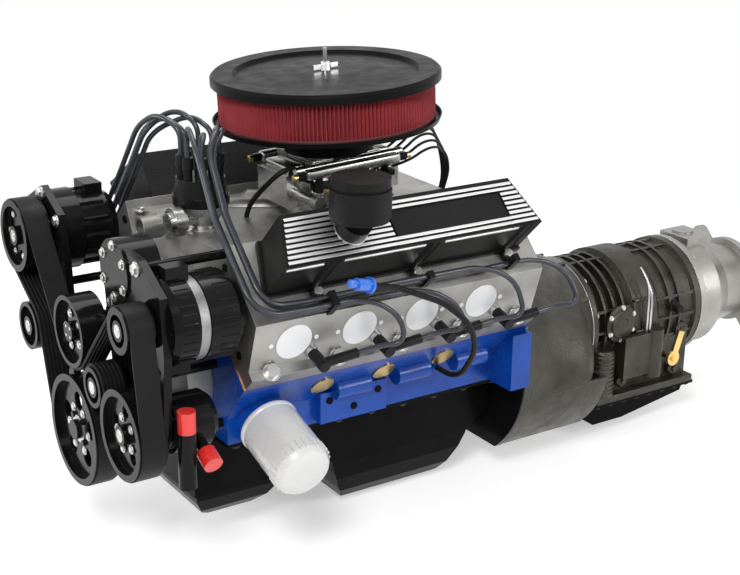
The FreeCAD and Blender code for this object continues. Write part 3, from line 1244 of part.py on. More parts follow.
def accessories():
    """Water pump, alternator, compressor, steering pump and the tensioner's arm and spring housing."""
    pump = fuse(rod("56", "-block_length - 90", "-block_length - 40", "0", "pump_z"),
                rod("22", "-block_length - 120", "-block_length - 89", "0", "pump_z"),
                rod("24", "-block_length - 78", "-block_length - 44", "-64", "pump_z - 46"), rod("24",
                    "-block_length - 78", "-block_length - 44", "64", "pump_z - 46"),
                box("-block_length - 78", "-block_length - 44", "-64", "64", "pump_z - 62", "pump_z - 30"),
                rod("19", "pump_z - 60", "pump_z - 6", "-block_length - 68", "74", "z"))
    feet = [rod("12", "-block_length - 45", "-block_length - 40", f"{side} * 64",
                "pump_z - 46") for side in (-1, 1)]
    node("water_pump", cut(fuse(pump, *feet), rod("shaft_radius + run_gap", "-block_length - 121",
                                                  "-block_length - 76", "0", "pump_z")))
    y, z = "alternator_y", "alternator_z"
    case = turned([(BRACKET_BACK, "0"), (BRACKET_BACK, "56"), ("-block_length - 112", "62"),
                   ("-block_length - 84", "62"), ("-block_length - 84", "59"),
                   ("-block_length - 68", "59"), ("-block_length - 68", "62"), ("-block_length - 24",
                    "62"), ("-block_length - 12",
                    "54"),
                    ("-block_length - 12", "0")], y, z)
    ears = [box("-block_length - 112", "-block_length - 78", f"{y} - 12", f"{y} + 12", f"{z} + 56",
                f"{z} + 80"),
            box("-block_length - 112", "-block_length - 78", f"{y} - 12", f"{y} + 12", f"{z} - 76",
                f"{z} - 56")]
    node("alternator", cut(fuse(case, *ears), rod("shaft_radius + run_gap", f"{BRACKET_BACK} - 1",
                                                  "-block_length - 36", y, z)))
    y, z = "cooling_y", "cooling_z"
    case = turned([(BRACKET_BACK, "0"), (BRACKET_BACK, "44"), ("-block_length - 108", "58"),
                   ("-block_length - 38", "58"), ("-block_length - 26", "50"),
                   ("-block_length - 26", "0")], y, z)
    ports = box("-block_length - 68", "-block_length - 40", f"{y} - 22", f"{y} + 22", f"{z} + 50",
                f"{z} + 72")
    node("ac_compressor", cut(fuse(case, ports), rod("shaft_radius + run_gap", f"{BRACKET_BACK} - 1",
                                                     "-block_length - 76", y, z)))
    y, z = "steering_y", "steering_z"
    case = turned([(BRACKET_BACK, "0"), (BRACKET_BACK, "34"), ("-block_length - 110", "34"),
                   ("-block_length - 110", "42"), ("-block_length - 54", "42"),
                   ("-block_length - 44", "34"), ("-block_length - 44", "0")], y, z)
    spout = fuse(rod("13", f"{z} - 74", f"{z} + 10", "-block_length - 105", f"{y} - 57", "z"),
                 box("-block_length - 109", "-block_length - 93", f"{y} - 56", f"{y} - 20", f"{z} - 12",
                     f"{z} + 7"))
    outlet = tilted(rod("9", "30", "62", "0", "0", "z"), "116", (1, 0, 0), "-block_length - 76", y, z)
    node("power_steering_pump", cut(fuse(case, spout, outlet),
                                    rod("shaft_radius + run_gap", f"{BRACKET_BACK} - 1",
                                        "-block_length - 76", y, z)))
    cap = cut(rod("14", "62", "88", "0", "0", "z"), rod("9", "61", "63", "0", "0", "z"))
    node("hose_caps", tilted(cap, "116", (1, 0, 0), "-block_length - 76", y, z),
         rod("13", f"{z} + 10", f"{z} + 42", "-block_length - 105", f"{y} - 57", "z"))
    y, z = "tensioner_y - 18", "tensioner_z - 59.3"
    arm = fuse(rod("20", f"{BRACKET_FRONT} - 3.5", f"{BRACKET_FRONT} - 1", y, z),
               rod("15", f"{BRACKET_FRONT} - 3.5", "-block_length - 121", y, z),
               tilted(box(f"{BRACKET_FRONT} - 3.5", f"{BRACKET_FRONT} - 1", "-12", "12", "0", "arm_length"),
                      "-16.9",
                      (1, 0, 0), "0", y, z),
               rod("16", f"{BRACKET_FRONT} - 3.5", "-block_length - 120", "tensioner_y", "tensioner_z"))
    node("tensioner_arm", cut(arm, rod("shaft_radius + run_gap", f"{BRACKET_FRONT} - 5",
                                       "-block_length - 119", "tensioner_y",
                                       "tensioner_z")))


def brackets():
    """The left and right accessory brackets with their standoffs, the round boss and the open ring."""
    left = prism([("-30", "232"), ("-62", "304"), ("-150", "298"), ("-214", "262"), ("-222", "180"),
                  ("-214", "60"),
                  ("-196", "18"), ("-120", "8"), ("-100", "14"), ("-104", "60"), ("-50", "74"), ("-48",
                    "110")],
                 BRACKET_FRONT, BRACKET_BACK)
    boss = cut(rod("47", f"{BRACKET_FRONT} - 3", "-block_length - 82", "-72", "262"),
               rod("20", "-block_length - 108", "-block_length - 81", "-72", "262"))
    standoffs = [rod("7", "-block_length - 122", "-head_front", "-143", "285"),
                 rod("7", "-block_length - 122", "-block_length", "-130", "20"),
                 rod("7", "-block_length - 122", "-block_length", "-114", "108")]
    holes = [rod("shaft_radius + 4", "-block_length - 148", "-block_length - 78", "alternator_y",
                 "alternator_z"),
             rod("shaft_radius + 4", "-block_length - 148", "-block_length - 78", "steering_y", "steering_z"),
             rod("shaft_radius + run_gap", "-block_length - 148", "-block_length - 118", "idler_y",
                 "idler_z")]
    lugs = [rod("14", "-block_length - 128", "-block_length - 112", "alternator_y", "alternator_z + 68"),
            rod("16", BRACKET_FRONT, "-block_length - 118", "idler_y", "idler_z")]
    node("accessory_bracket_left", cut(fuse(left, cut(boss, rod("62.2", "-block_length - 121", "-500",
                    "alternator_y", "alternator_z")),
                                            *standoffs, lugs[1]), *holes))
    right = prism([("108", "8"), ("172", "18"), ("186", "60"), ("214", "150"), ("264", "214"), ("262", "290"),
                   ("200", "322"), ("136", "290"), ("120", "220"), ("112", "150"), ("104", "60")],
                  BRACKET_FRONT, BRACKET_BACK)
    hoop = ring("64", "58.3", f"{BRACKET_BACK} - 1", "-block_length - 86", "cooling_y", "cooling_z")
    posts = [rod("7", "-block_length - 122", "-head_front - bank_offset", "200", "160"),
             rod("7", "-block_length - 122", "-block_length", "130", "20"), rod("7", "-block_length - 122",
                    "-block_length", "114",
                    "108")]
    openings = [rod("shaft_radius + 4", "-block_length - 148", "-block_length - 78", "cooling_y",
                    "cooling_z"),
                rod("15 + run_gap", "-block_length - 148", "-block_length - 78", "tensioner_y - 18",
                    "tensioner_z - 59.3"),
                cut(rod("84", "-block_length - 138", "-block_length - 118", "tensioner_y - 18",
                        "tensioner_z - 59.3"),
                    rod("40", "-block_length - 139", "-block_length - 117", "tensioner_y - 18",
                        "tensioner_z - 59.3"))]
    slot = keep(openings[2], box("-block_length - 138", "-block_length - 118", "130", "186", "86", "140"))
    node("accessory_bracket_right", cut(fuse(right, hoop, *posts), openings[0], openings[1], slot))


def oil_pump():
    """The pump under the front main cap with its pickup in the front sump."""
    body = box("-514", "-482", "-32", "32", "-104", "-cap_depth")
    pipe = rod("9", "-132", "-103", "-498", "0", "z")
    screen = cone("26", "10", "front_sump_bottom + 20", "-130", "-498", "0", "z")
    node("oil_pump", fuse(body, pipe, screen))


def oil_pan():
    """The pan: a rail under the block, a rounded front sump, and the deeper rear sump the engine rests on."""
    front = "-block_length - 38"
    rail = box("-block_length", "0", "-rail_half_width", "rail_half_width", "-16", "-rail_drop")
    nose = box("-block_length - 40", "-block_length", "-112", "112", "-20", "-16")
    opening = box("-block_length + 8", "-12", "-105", "105", "-21", "-rail_drop + 1")
    node("oil_pan", cut(fuse(pan_shell(front, 0), rail, nose), pan_shell(front, "pan_wall"), opening,
                        rod("46", "-37", "1", "0", "0"), rod("24", "-block_length - 48", "-block_length + 9",
                    "0", "0"),
                        rod("30", "-block_length", "-500", "0", "0")))


def pan_shell(front, inset):
    """The pan's tray and its two sumps as one solid, drawn in by a distance for the hollow."""
    tray = [(f"{front} + {inset}", f"-16 + {inset} / 3"), (f"{front} + {inset}", f"pan_floor + {inset}"),
            (f"-44 - {inset} / 2", f"pan_floor + {inset}"), (f"-6 - {inset}", f"pan_floor + 20 + {inset}"),
            (f"-6 - {inset}", f"-16 + {inset} / 3")]
    pieces = [prism(tray, f"-112 + {inset}", f"112 - {inset}", "y")]
    lengths = (
        ("front_sump_bottom", [(f"{front}", "60"), (f"{front}", "74"), (f"{front} + 8", "44"),
                               (f"{front} + 24", "18"),
                               (f"{front} + 48", "4"), (f"{front} + 74", "0"), (f"{front} + 112", "5"),
                               (f"{front} + 134", "22"), (f"{front} + 148", "44"), (f"{front} + 156", "66"),
                               (f"{front} + 160", "90")]),
        ("pan_bottom", [("-324", "105"), ("-310", "74"), ("-294", "38"), ("-278", "12"), ("-262", "0"),
                        ("-98", "0"),
                        ("-82", "14"), ("-66", "50"), ("-52", "84"), ("-44", "105")]),
    )
    for bottom, points in lengths:
        along_x = []
        middle = len(points) / 2
        for index, (x, rise) in enumerate(points):
            inward = f"{x} + {inset}" if index < middle else f"{x} - {inset}"
            along_x.append((inward, f"{bottom} + {rise} + {inset}"))
        along_x = [(along_x[0][0], f"pan_floor + 20 + {inset}")] + [point for point in along_x[1:-1]] \
            + [(along_x[-1][0], f"pan_floor + 20 + {inset}")]
        half = [("112", "-40"), ("112", f"({bottom}) / 2 - 10"), ("106", f"({bottom}) * 0.70"),
                ("92", f"({bottom}) * 0.85"), ("74", f"({bottom}) * 0.95"), ("54", bottom)]
        across = [(f"{y} - {inset}", f"{z} + {inset}") for y, z in half]
        across += [(f"-{y} + {inset}", f"{z} + {inset}") for y, z in half[::-1]]
        pieces.append(keep(prism(along_x, "-112", "112", "y"), prism(across, f"{front} - 1", "0")))
    return fuse(*pieces)


def oil_filter():
    """The spin-on filter on its boss on the left side."""
    can = turned([("0", "0"), ("0", "filter_body_radius - 6"), ("4", "filter_body_radius - 2"),
                  ("8", "filter_body_radius"), ("filter_body_length - 14", "filter_body_radius"),
                  ("filter_body_length - 4", "filter_body_radius - 6"), ("filter_body_length",
                    "filter_body_radius - 18"),
                  ("filter_body_length", "0")], "0", "0", "z")
    node("oil_filter", tilted(can, "90 + oil_filter_slope", (1, 0, 0), "oil_filter_x", "oil_filter_y",
                              "oil_filter_z"))


def core_plugs():
    """Brass core plugs between the ribs of both block sides."""
    pieces = []
    cosine = size("bank_cosine")
    outer = ((size("deck_height") + size("deck_outer")) * cosine,
             (size("deck_height") - size("deck_outer")) * cosine)
    rise, reach = outer[1] - size("skirt_height"), outer[0] - size("rail_half_width")
    slope = math.degrees(math.atan2(rise, -reach))
    for side, offset in ((LEFT, "0"), (RIGHT, "bank_offset")):
        for number in range(3):
            plug = rod("19", "0.02", "2.4", "0", "0", "z")
            pieces.append(tilted(plug, f"{-side * slope:.4f}", (1, 0, 0),
                                 f"({bore_x(number)}) + bore_spacing / 2 - {offset}",
                                 f"{side} * {(outer[0] + size('rail_half_width')) / 2:.4f}",
                                 f"{(outer[1] + size('skirt_height')) / 2:.4f}"))
    node("core_plugs", *pieces)


def rear_drive():
    """Engine plate, flexplate with torque converter, and the bellhousing."""
    plate = cut(rod("bell_radius", "0", "plate_thick", "0", "0"), rod("48", "-1", "plate_thick + 1", "0",
                    "0"),
                box("-1", "plate_thick + 1", "-bell_radius", "bell_radius", "-bell_radius - 1", "-150"))
    node("engine_plate", plate)
    flex = cut(rod("flexplate_radius", "plate_thick + 6", "plate_thick + 9", "0", "0"),
               *bolt_circle("14", "100", 6, "plate_thick + 5", "plate_thick + 10", "0", "0"))
    rim = ring("flexplate_radius + 4", "flexplate_radius - 8", "plate_thick + 5", "plate_thick + 17", "0",
               "0")
    shell = turned([("plate_thick + 9", "0"), ("plate_thick + 9", "60"),
                    ("plate_thick + 26", "converter_radius - 12"),
                    ("plate_thick + 44", "converter_radius"), ("plate_thick + 84", "converter_radius"),
                    ("plate_thick + converter_depth", "70"), ("plate_thick + converter_depth", "24"),
                    ("bell_length - 14", "24"), ("bell_length - 14", "0")], "0", "0")
    node("torque_converter", fuse(flex, rim, shell))
    start, end = "plate_thick", "plate_thick + bell_length"
    upper = cone("bell_radius", "bell_neck", start, end, "0", "0")
    lower = keep(rod("bell_radius - 1", start, f"{end} - 35", "0", "0"),
                 box(start, end, "-bell_radius", "bell_radius", "-150", "-40"))
    hollow = fuse(cone("bell_radius - bell_wall", "bell_neck - bell_wall", f"{start} - 1", f"{end} - 12",
                       "0", "0"),
                  keep(rod("bell_radius - 1 - bell_wall", f"{start} - 1", f"{end} - 42", "0", "0"),
                       box(f"{start} - 1", end, "-bell_radius", "bell_radius", "-150 + bell_wall", "-40")),
                  rod("26", f"{end} - 14", f"{end} + 1", "0", "0"))
    trim = box("plate_thick - 1", f"{end} + 1", "-bell_radius", "bell_radius", "-bell_radius - 1", "-150")
    ribs = []
    for angle in (35, 75, 105, 145):
        rib = box(f"{start} + 12", f"{end} - 6", "-3", "3", "bell_neck - 14", "bell_neck + 8")
        ribs.append(tilted(rib, str(angle - 90), (1, 0, 0), "0", "0", "0"))
    flange = ring("bell_radius", "bell_radius - 22", start, f"{start} + 12", "0", "0")
    bosses = bolt_circle("10", "bell_radius - 14", 9, start, f"{start} + 22", "0", "0", 0)
    node("bellhousing", cut(fuse(upper, lower, flange, *ribs, *bosses[:5]), hollow, trim))


def transmission():
    """The ribbed case, its pan, the output shaft, the shift lever, and the transfer-case adapter."""
    start = "plate_thick + bell_length"
    end = f"{start} + case_length"
    shell = turned([(start, "30"), (start, "bell_neck"), (f"{start} + 12", "bell_neck"),
                    (f"{start} + 20", "94"),
                    (f"{start} + 84", "96"), (f"{start} + 96", "115"), (f"{start} + 150", "115"),
                    (f"{start} + 164", "case_radius"), (f"{end} - 18", "case_radius"), (f"{end} - 14", "112"),
                    (end, "112"), (end, "60"), (f"{end} - 16", "60"), (f"{end} - 16", "84"),
                    (f"{start} + 12", "84"), (f"{start} + 12", "30")], "0", "0")
    ribs = []
    for index in range(9):
        angle = -70 + 20 * index + (0 if index < 5 else 40)
        rib = box(f"{start} + 14", f"{end} - 16", "-2.5", "2.5", "88", "case_radius + 5")
        ribs.append(tilted(rib, str(angle), (1, 0, 0), "0", "0", "0"))
    hoops = [ring("case_radius + 6", "86", f"{start} + {place}", f"{start} + {place} + 5", "0", "0")
             for place in (30, 52, 74, 186, 210)]
    sides = box(f"{start} + 10", f"{end} - 20", "-trans_pan_half", "trans_pan_half", "trans_pan_rail",
                "trans_pan_rail + 12")
    skirts = box(f"{start} + 10", f"{end} - 20", "-100", "100", "trans_pan_rail", "-20")
    cavity = rod("84", f"{start} + 12", f"{end} - 16", "0", "0")
    well = box(f"{start} + 18", f"{end} - 28", "-86", "86", "trans_pan_rail - 1", "-20")
    valve_body = fuse(box(f"{start} + 60", f"{start} + 150", "-132", "-96", "-88", "-10"),
                      rod("17", "-96", "-6", f"{start} + 136", "-124", "z"))
    bore = rod("output_radius + run_gap", f"{end} - 17", f"{end} + 1", "0", "0")
    case = cut(fuse(shell, *ribs, *hoops, sides, skirts, valve_body), cavity, well,
               rod("26", f"{start} - 1", f"{start} + 13", "0", "0"), bore,
               rod("6 + run_gap", "-140", "-80", f"{start} + 168", "-64", "y"))
    web = cut(rod("62", f"{end} - 16", f"{end} - 4", "0", "0"), bore)
    node("transmission_case", fuse(case, web))
    low = "trans_pan_rail - trans_pan_depth"
    outer = prism([(f"{start} + 10", "trans_pan_rail"), (f"{start} + 20", low), (f"{start} + 90", low),
                   (f"{end} - 30", f"{low} + 22"), (f"{end} - 20", "trans_pan_rail")], "-104", "104", "y")
    inner = prism([(f"{start} + 14", "trans_pan_rail + 1"), (f"{start} + 23", f"{low} + 3"),
                   (f"{start} + 90", f"{low} + 3"), (f"{end} - 33", f"{low} + 25"),
                   (f"{end} - 24", "trans_pan_rail + 1")], "-101", "101", "y")
    lip = box(f"{start} + 6", f"{end} - 16", "-trans_pan_half", "trans_pan_half", "trans_pan_rail - 5",
              "trans_pan_rail")
    node("transmission_pan", cut(fuse(outer, lip), inner))
    lever = fuse(rod("6", "-150", "-96", f"{start} + 168", "-64", "y"),
                 rod("14", "-146", "-140", f"{start} + 168", "-64", "y"),
                 tilted(box("-7", "7", "-146", "-140", "0", "52"), "18", (0, 1, 0), f"{start} + 168", "0",
                        "-64"))
    node("shift_lever", lever)
    rear = f"{end} + adapter_length"
    shell = turned([(end, "adapter_radius - 8"), (end, "adapter_radius + 30"),
                    (f"{end} + 14", "adapter_radius + 30"),
                    (f"{end} + 14", "adapter_radius + 18"), (f"{end} + 60", "adapter_radius + 22"),
                    (f"{end} + 104", "adapter_radius - 2"), (f"{rear} - 14", "adapter_radius - 12"),
                    (f"{rear} - 14", "adapter_radius"), (rear, "adapter_radius"), (rear, "pilot_radius"),
                    (f"{rear} - pilot_depth", "pilot_radius"), (f"{rear} - pilot_depth", "36"),
                    (f"{rear} - 40", "36"), (f"{end} + 96", "56"), (f"{end} + 14", "60"),
                    (f"{end} + 14", "adapter_radius - 8")], "0", "0")
    ears = [tilted(box(f"{rear} - 14", rear, "-16", "16", "0", "104"), angle, (1, 0, 0), "0", "0", "0")
            for angle in ("45", "-45", "135", "-135")]
    tips = [rod("16", f"{rear} - 14", rear, f"104 * {sign_y} * 0.70710678", f"104 * {sign_z} * 0.70710678")
            for sign_y in (-1, 1) for sign_z in (-1, 1)]
    bolts_through = bolt_circle("adapter_hole", "adapter_bolt_circle", 6, f"{rear} - 15", f"{rear} + 1", "0",
                                "0", 30)
    inside = fuse(rod("pilot_radius", f"{rear} - pilot_depth", f"{rear} + 1", "0", "0"),
                  rod("36", f"{rear} - 41", f"{rear} - 10", "0", "0"))
    lug_holes = [rod("6.5", f"{rear} - 15", f"{rear} + 1", f"104 * {sign_y} * 0.70710678",
                     f"104 * {sign_z} * 0.70710678") for sign_y in (-1, 1) for sign_z in (-1, 1)]
    bump = fuse(box(f"{end} + 30", f"{end} + 92", "-34", "40", "80", "112"),
                rod("20", "90", "116", f"{end} + 60", "10", "z"))
    node("transfer_adapter", cut(fuse(shell, *ears, *tips, cut(bump, rod("96", end, rear, "0", "0"))), inside,
                                 *bolts_through, *lug_holes))
    shaft = fuse(rod("output_radius", f"{start} + 40", f"{rear} - pilot_depth - 2", "0", "0"),
                 rod("60", f"{start} + 60", f"{start} + 120", "0", "0"),
                 rod("26", f"{rear} - 70", f"{rear} - 60", "0", "0"))
    node("output_shaft", shaft)


NODE_GROUPS = (
    engine_block, main_bearing_caps, crankshaft, connecting_rods, camshaft, timing_chain, timing_cover,
    oil_pump, oil_pan, oil_filter, core_plugs, rear_drive, head_gaskets, bolts, valve_gear, intake_manifold,
    carburettor, throttle_plates, air_cleaner, breather, exhaust_dressing, distributor, plug_leads, dipstick,
    front_pulleys, serpentine_belt, accessories, brackets, transmission,
)


def check_and_write():
    """Recompute, check every object and every sub-part, then write the STEP files."""
    doc.recompute()
    faults = [f"{item.Name} {item.State}" for item in doc.Objects
              if "Invalid" in item.State or "Error" in item.State]
    for item in NODES:
        if item.Shape.isNull() or not item.Shape.isValid() or not item.Shape.Solids:
            faults.append(f"{item.Label} has no valid solid")
    if faults:
        raise RuntimeError("; ".join(faults))
    os.makedirs("parts", exist_ok=True)
    for item in NODES:
        item.Shape.exportStep(os.path.join("parts", item.Label + ".step"))
        box_now = item.Shape.BoundBox
        print(f"{item.Label}: {len(item.Shape.Solids)} solids, {item.Shape.Volume / 1000:.1f} cm3, "
              f"x {box_now.XMin:.1f}..{box_now.XMax:.1f} y {box_now.YMin:.1f}..{box_now.YMax:.1f} "
              f"z {box_now.ZMin:.1f}..{box_now.ZMax:.1f}")


for bank_side, bank_name in ((LEFT, "left"), (RIGHT, "right")):
    cylinder_head(bank_side, f"cylinder_head_{bank_name}")
    valve_cover(bank_side, f"valve_cover_{bank_name}")
for build_group in NODE_GROUPS:
    build_group()
check_and_write()
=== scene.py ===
"""Dress of a complete V8 engine with its automatic transmission.

The solids come packed from the construction model. This script gives them their castings, paints,
rubbers and machined faces, swaps a few plain solids for finer ones, and adds fasteners and fittings.
Lengths are metres. Places on the engine are written in millimetres from the rear face of the block,
crank axis as zero, and at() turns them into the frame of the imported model.
"""

from __future__ import annotations

import logging
import math
from dataclasses import dataclass
from enum import Enum
from typing import Optional, Sequence

import bmesh
import bpy
from mathutils import Matrix, Vector


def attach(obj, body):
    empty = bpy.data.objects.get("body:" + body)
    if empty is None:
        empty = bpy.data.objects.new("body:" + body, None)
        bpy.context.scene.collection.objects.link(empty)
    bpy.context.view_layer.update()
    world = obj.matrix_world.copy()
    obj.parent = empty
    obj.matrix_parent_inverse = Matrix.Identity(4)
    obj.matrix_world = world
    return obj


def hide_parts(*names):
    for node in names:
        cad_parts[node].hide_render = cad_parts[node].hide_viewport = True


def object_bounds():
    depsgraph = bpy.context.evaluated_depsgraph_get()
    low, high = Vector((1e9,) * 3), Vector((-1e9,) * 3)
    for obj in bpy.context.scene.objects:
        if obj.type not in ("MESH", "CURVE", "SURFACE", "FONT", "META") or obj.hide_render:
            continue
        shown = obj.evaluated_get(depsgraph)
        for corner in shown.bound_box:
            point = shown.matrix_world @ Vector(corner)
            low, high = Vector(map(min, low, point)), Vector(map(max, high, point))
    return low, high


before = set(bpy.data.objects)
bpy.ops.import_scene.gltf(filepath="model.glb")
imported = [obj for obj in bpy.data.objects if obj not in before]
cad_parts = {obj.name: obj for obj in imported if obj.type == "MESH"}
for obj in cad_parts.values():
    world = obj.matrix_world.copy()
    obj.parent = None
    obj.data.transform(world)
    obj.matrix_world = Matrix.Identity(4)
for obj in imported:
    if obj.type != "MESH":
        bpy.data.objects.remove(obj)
CAD_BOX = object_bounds()
LOG = logging.getLogger("engine")
MM = 1000.0
REAR_FACE = -675.0
RIGHT_BANK_SHIFT = -21.0
CARBURETTOR_X = -254.0
CARBURETTOR_TILT = -3.0
HALF_RIGHT = math.sqrt(0.5)
AFT, FRONT = Vector((1.0, 0.0, 0.0)), Vector((-1.0, 0.0, 0.0))
LEFT, UP, DOWN = Vector((0.0, -1.0, 0.0)), Vector((0.0, 0.0, 1.0)), Vector((0.0, 0.0, -1.0))
ENGINE = Matrix.Translation((REAR_FACE / MM, 0.0, 0.0))
NOISE_RANGE = (0.3, 0.7)
EDGE_COSINES = (0.75, 0.96)
SCRATCH_SCALE = 90.0
Piece = bpy.types.Object
Socket = bpy.types.NodeSocket
Point = tuple[float, float, float]
Colour = tuple[float, float, float]


def at(x: float, y: float, z: float) -> Vector:
    """Place on the engine, in millimetres from the block's rear face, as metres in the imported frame."""
    return Vector(((x + REAR_FACE) / MM, y / MM, z / MM))


class Side(Enum):
    """Bank of the engine, by the sign of its y."""

    LEFT = -1
    RIGHT = 1

    def place(self, x: float, u: float, v: float) -> Vector:
        """Place in a bank: u outward across the deck, v up along the bores."""
        return at(x, self.value * (u + v) * HALF_RIGHT, (v - u) * HALF_RIGHT)

    @property
    def shift(self) -> float:
        """How far the bank's pieces sit behind those of the left bank, in millimetres."""
        return RIGHT_BANK_SHIFT if self is Side.RIGHT else 0.0


class Grain(Enum):
    """Surface texture of a finish."""

    CAST = "cast"
    CRINKLE = "crinkle"
    BRUSHED = "brushed"
    PAINT = "paint"
    MOULDED = "moulded"
    WOVEN = "woven"


class Nodes:
    """Adds nodes to one tree and joins their sockets."""

    def __init__(self, tree: bpy.types.NodeTree) -> None:
        """Takes the tree that is built."""
        self.tree = tree

    def plug(self, socket: Socket, value: object) -> None:
        """Joins a socket to another one, or sets its value."""
        if isinstance(value, Socket):
            self.tree.links.new(value, socket)
        else:
            socket.default_value = value

    def node(self, kind: str, settings: Optional[dict] = None, **inputs: object) -> bpy.types.Node:
        """Adds a node.

        Args:
            kind: Blender's name of the node type.
            settings: properties of the node itself.
            **inputs: sockets by name, with _ for a space, or by place, as i0.

        Returns:
            The new node.
        """
        made = self.tree.nodes.new(kind)
        for word, value in (settings or {}).items():
            setattr(made, word, value)
        for word, value in inputs.items():
            self.plug(made.inputs[int(word[1:]) if word[1:].isdigit() else word.replace("_", " ")], value)
        return made

    def maths(self, operation: str, *values: object) -> Socket:
        """One step of arithmetic."""
        made = self.node("ShaderNodeMath", {"operation": operation})
        for socket, value in zip(made.inputs, values):
            self.plug(socket, value)
        return made.outputs[0]

    def looked_at(self) -> Socket:
        """1 for what the camera, a reflection or glass sees, and 0 for what gives light."""
        rays = self.node("ShaderNodeLightPath").outputs
        mirrored = self.maths("MAXIMUM", rays["Is Glossy Ray"], rays["Is Transmission Ray"])
        return self.maths("MAXIMUM", rays["Is Camera Ray"], mirrored)


class Wiring(Nodes):
    """The tree of one material."""

    def __init__(self, material: bpy.types.Material) -> None:
        """Empties the tree of the material and gives it an output."""
        material.use_nodes = True
        super().__init__(material.node_tree)
        self.tree.nodes.clear()
        self.output = self.tree.nodes.new("ShaderNodeOutputMaterial").inputs["Surface"]
        self.coords = self.tree.nodes.new("ShaderNodeTexCoord").outputs["Object"]

    def pattern(self, kind: str, settings: Optional[dict] = None, **inputs: object) -> bpy.types.Node:
        """Adds a texture that follows the object's own coordinates."""
        return self.node(f"ShaderNodeTex{kind}", settings, Vector=self.coords, **inputs)

    def noise(self, scale: float, detail: float = 3.0, rough: float = 0.55) -> Socket:
        """Noise over the object's own coordinates, from 0 to 1."""
        return self.pattern("Noise", Scale=scale, Detail=detail, Roughness=rough).outputs["Fac"]

    def spread(self, value: Socket, low: float, high: float, to_low: float, to_high: float) -> Socket:
        """Maps a value from one range to another, clamped."""
        return self.node("ShaderNodeMapRange", Value=value, From_Min=low, From_Max=high, To_Min=to_low,
                         To_Max=to_high).outputs["Result"]

    def blend(self, share: Socket, first: object, second: object) -> Socket:
        """Mixes two colours by a share."""
        made = self.node("ShaderNodeMix", {"data_type": "RGBA"}, Factor=share)
        for socket, value in zip((made.inputs[6], made.inputs[7]), (first, second)):
            self.plug(socket, (*value, 1.0) if isinstance(value, tuple) else value)
        return made.outputs[2]

    def height(self, grain: Grain, scale: float) -> Socket:
        """Height pattern of a texture.

        Args:
            grain: kind of texture.
            scale: cells of the pattern per metre.

        Returns:
            The height, from 0 to 1.
        """
        if grain is Grain.CRINKLE:
            cells = self.pattern("Voronoi", {"feature": "SMOOTH_F1"}, Scale=scale)
            fine = self.maths("MULTIPLY", self.noise(scale * 2.2), 0.6)
            return self.maths("ADD", cells.outputs["Distance"], fine)
        if grain is Grain.BRUSHED:
            along = (scale * 0.08, scale, scale)
            stretched = self.node("ShaderNodeMapping", Vector=self.coords, Scale=along)
            lines = self.node("ShaderNodeTexNoise", Vector=stretched.outputs[0], Scale=1.0, Detail=2.0)
            return lines.outputs["Fac"]
        if grain is Grain.WOVEN:
            waves = self.pattern("Wave", {"bands_direction": "Z"}, Scale=scale / 3.0)
            return self.maths("MULTIPLY", waves.outputs["Fac"], self.noise(scale * 2.0))
        if grain is Grain.CAST:
            pits = self.pattern("Voronoi", Scale=scale)
            deep = self.maths("MULTIPLY", pits.outputs["Distance"], 0.5)
            return self.maths("ADD", deep, self.noise(scale * 1.6, 5.0))
        return self.noise(scale, 2.0)


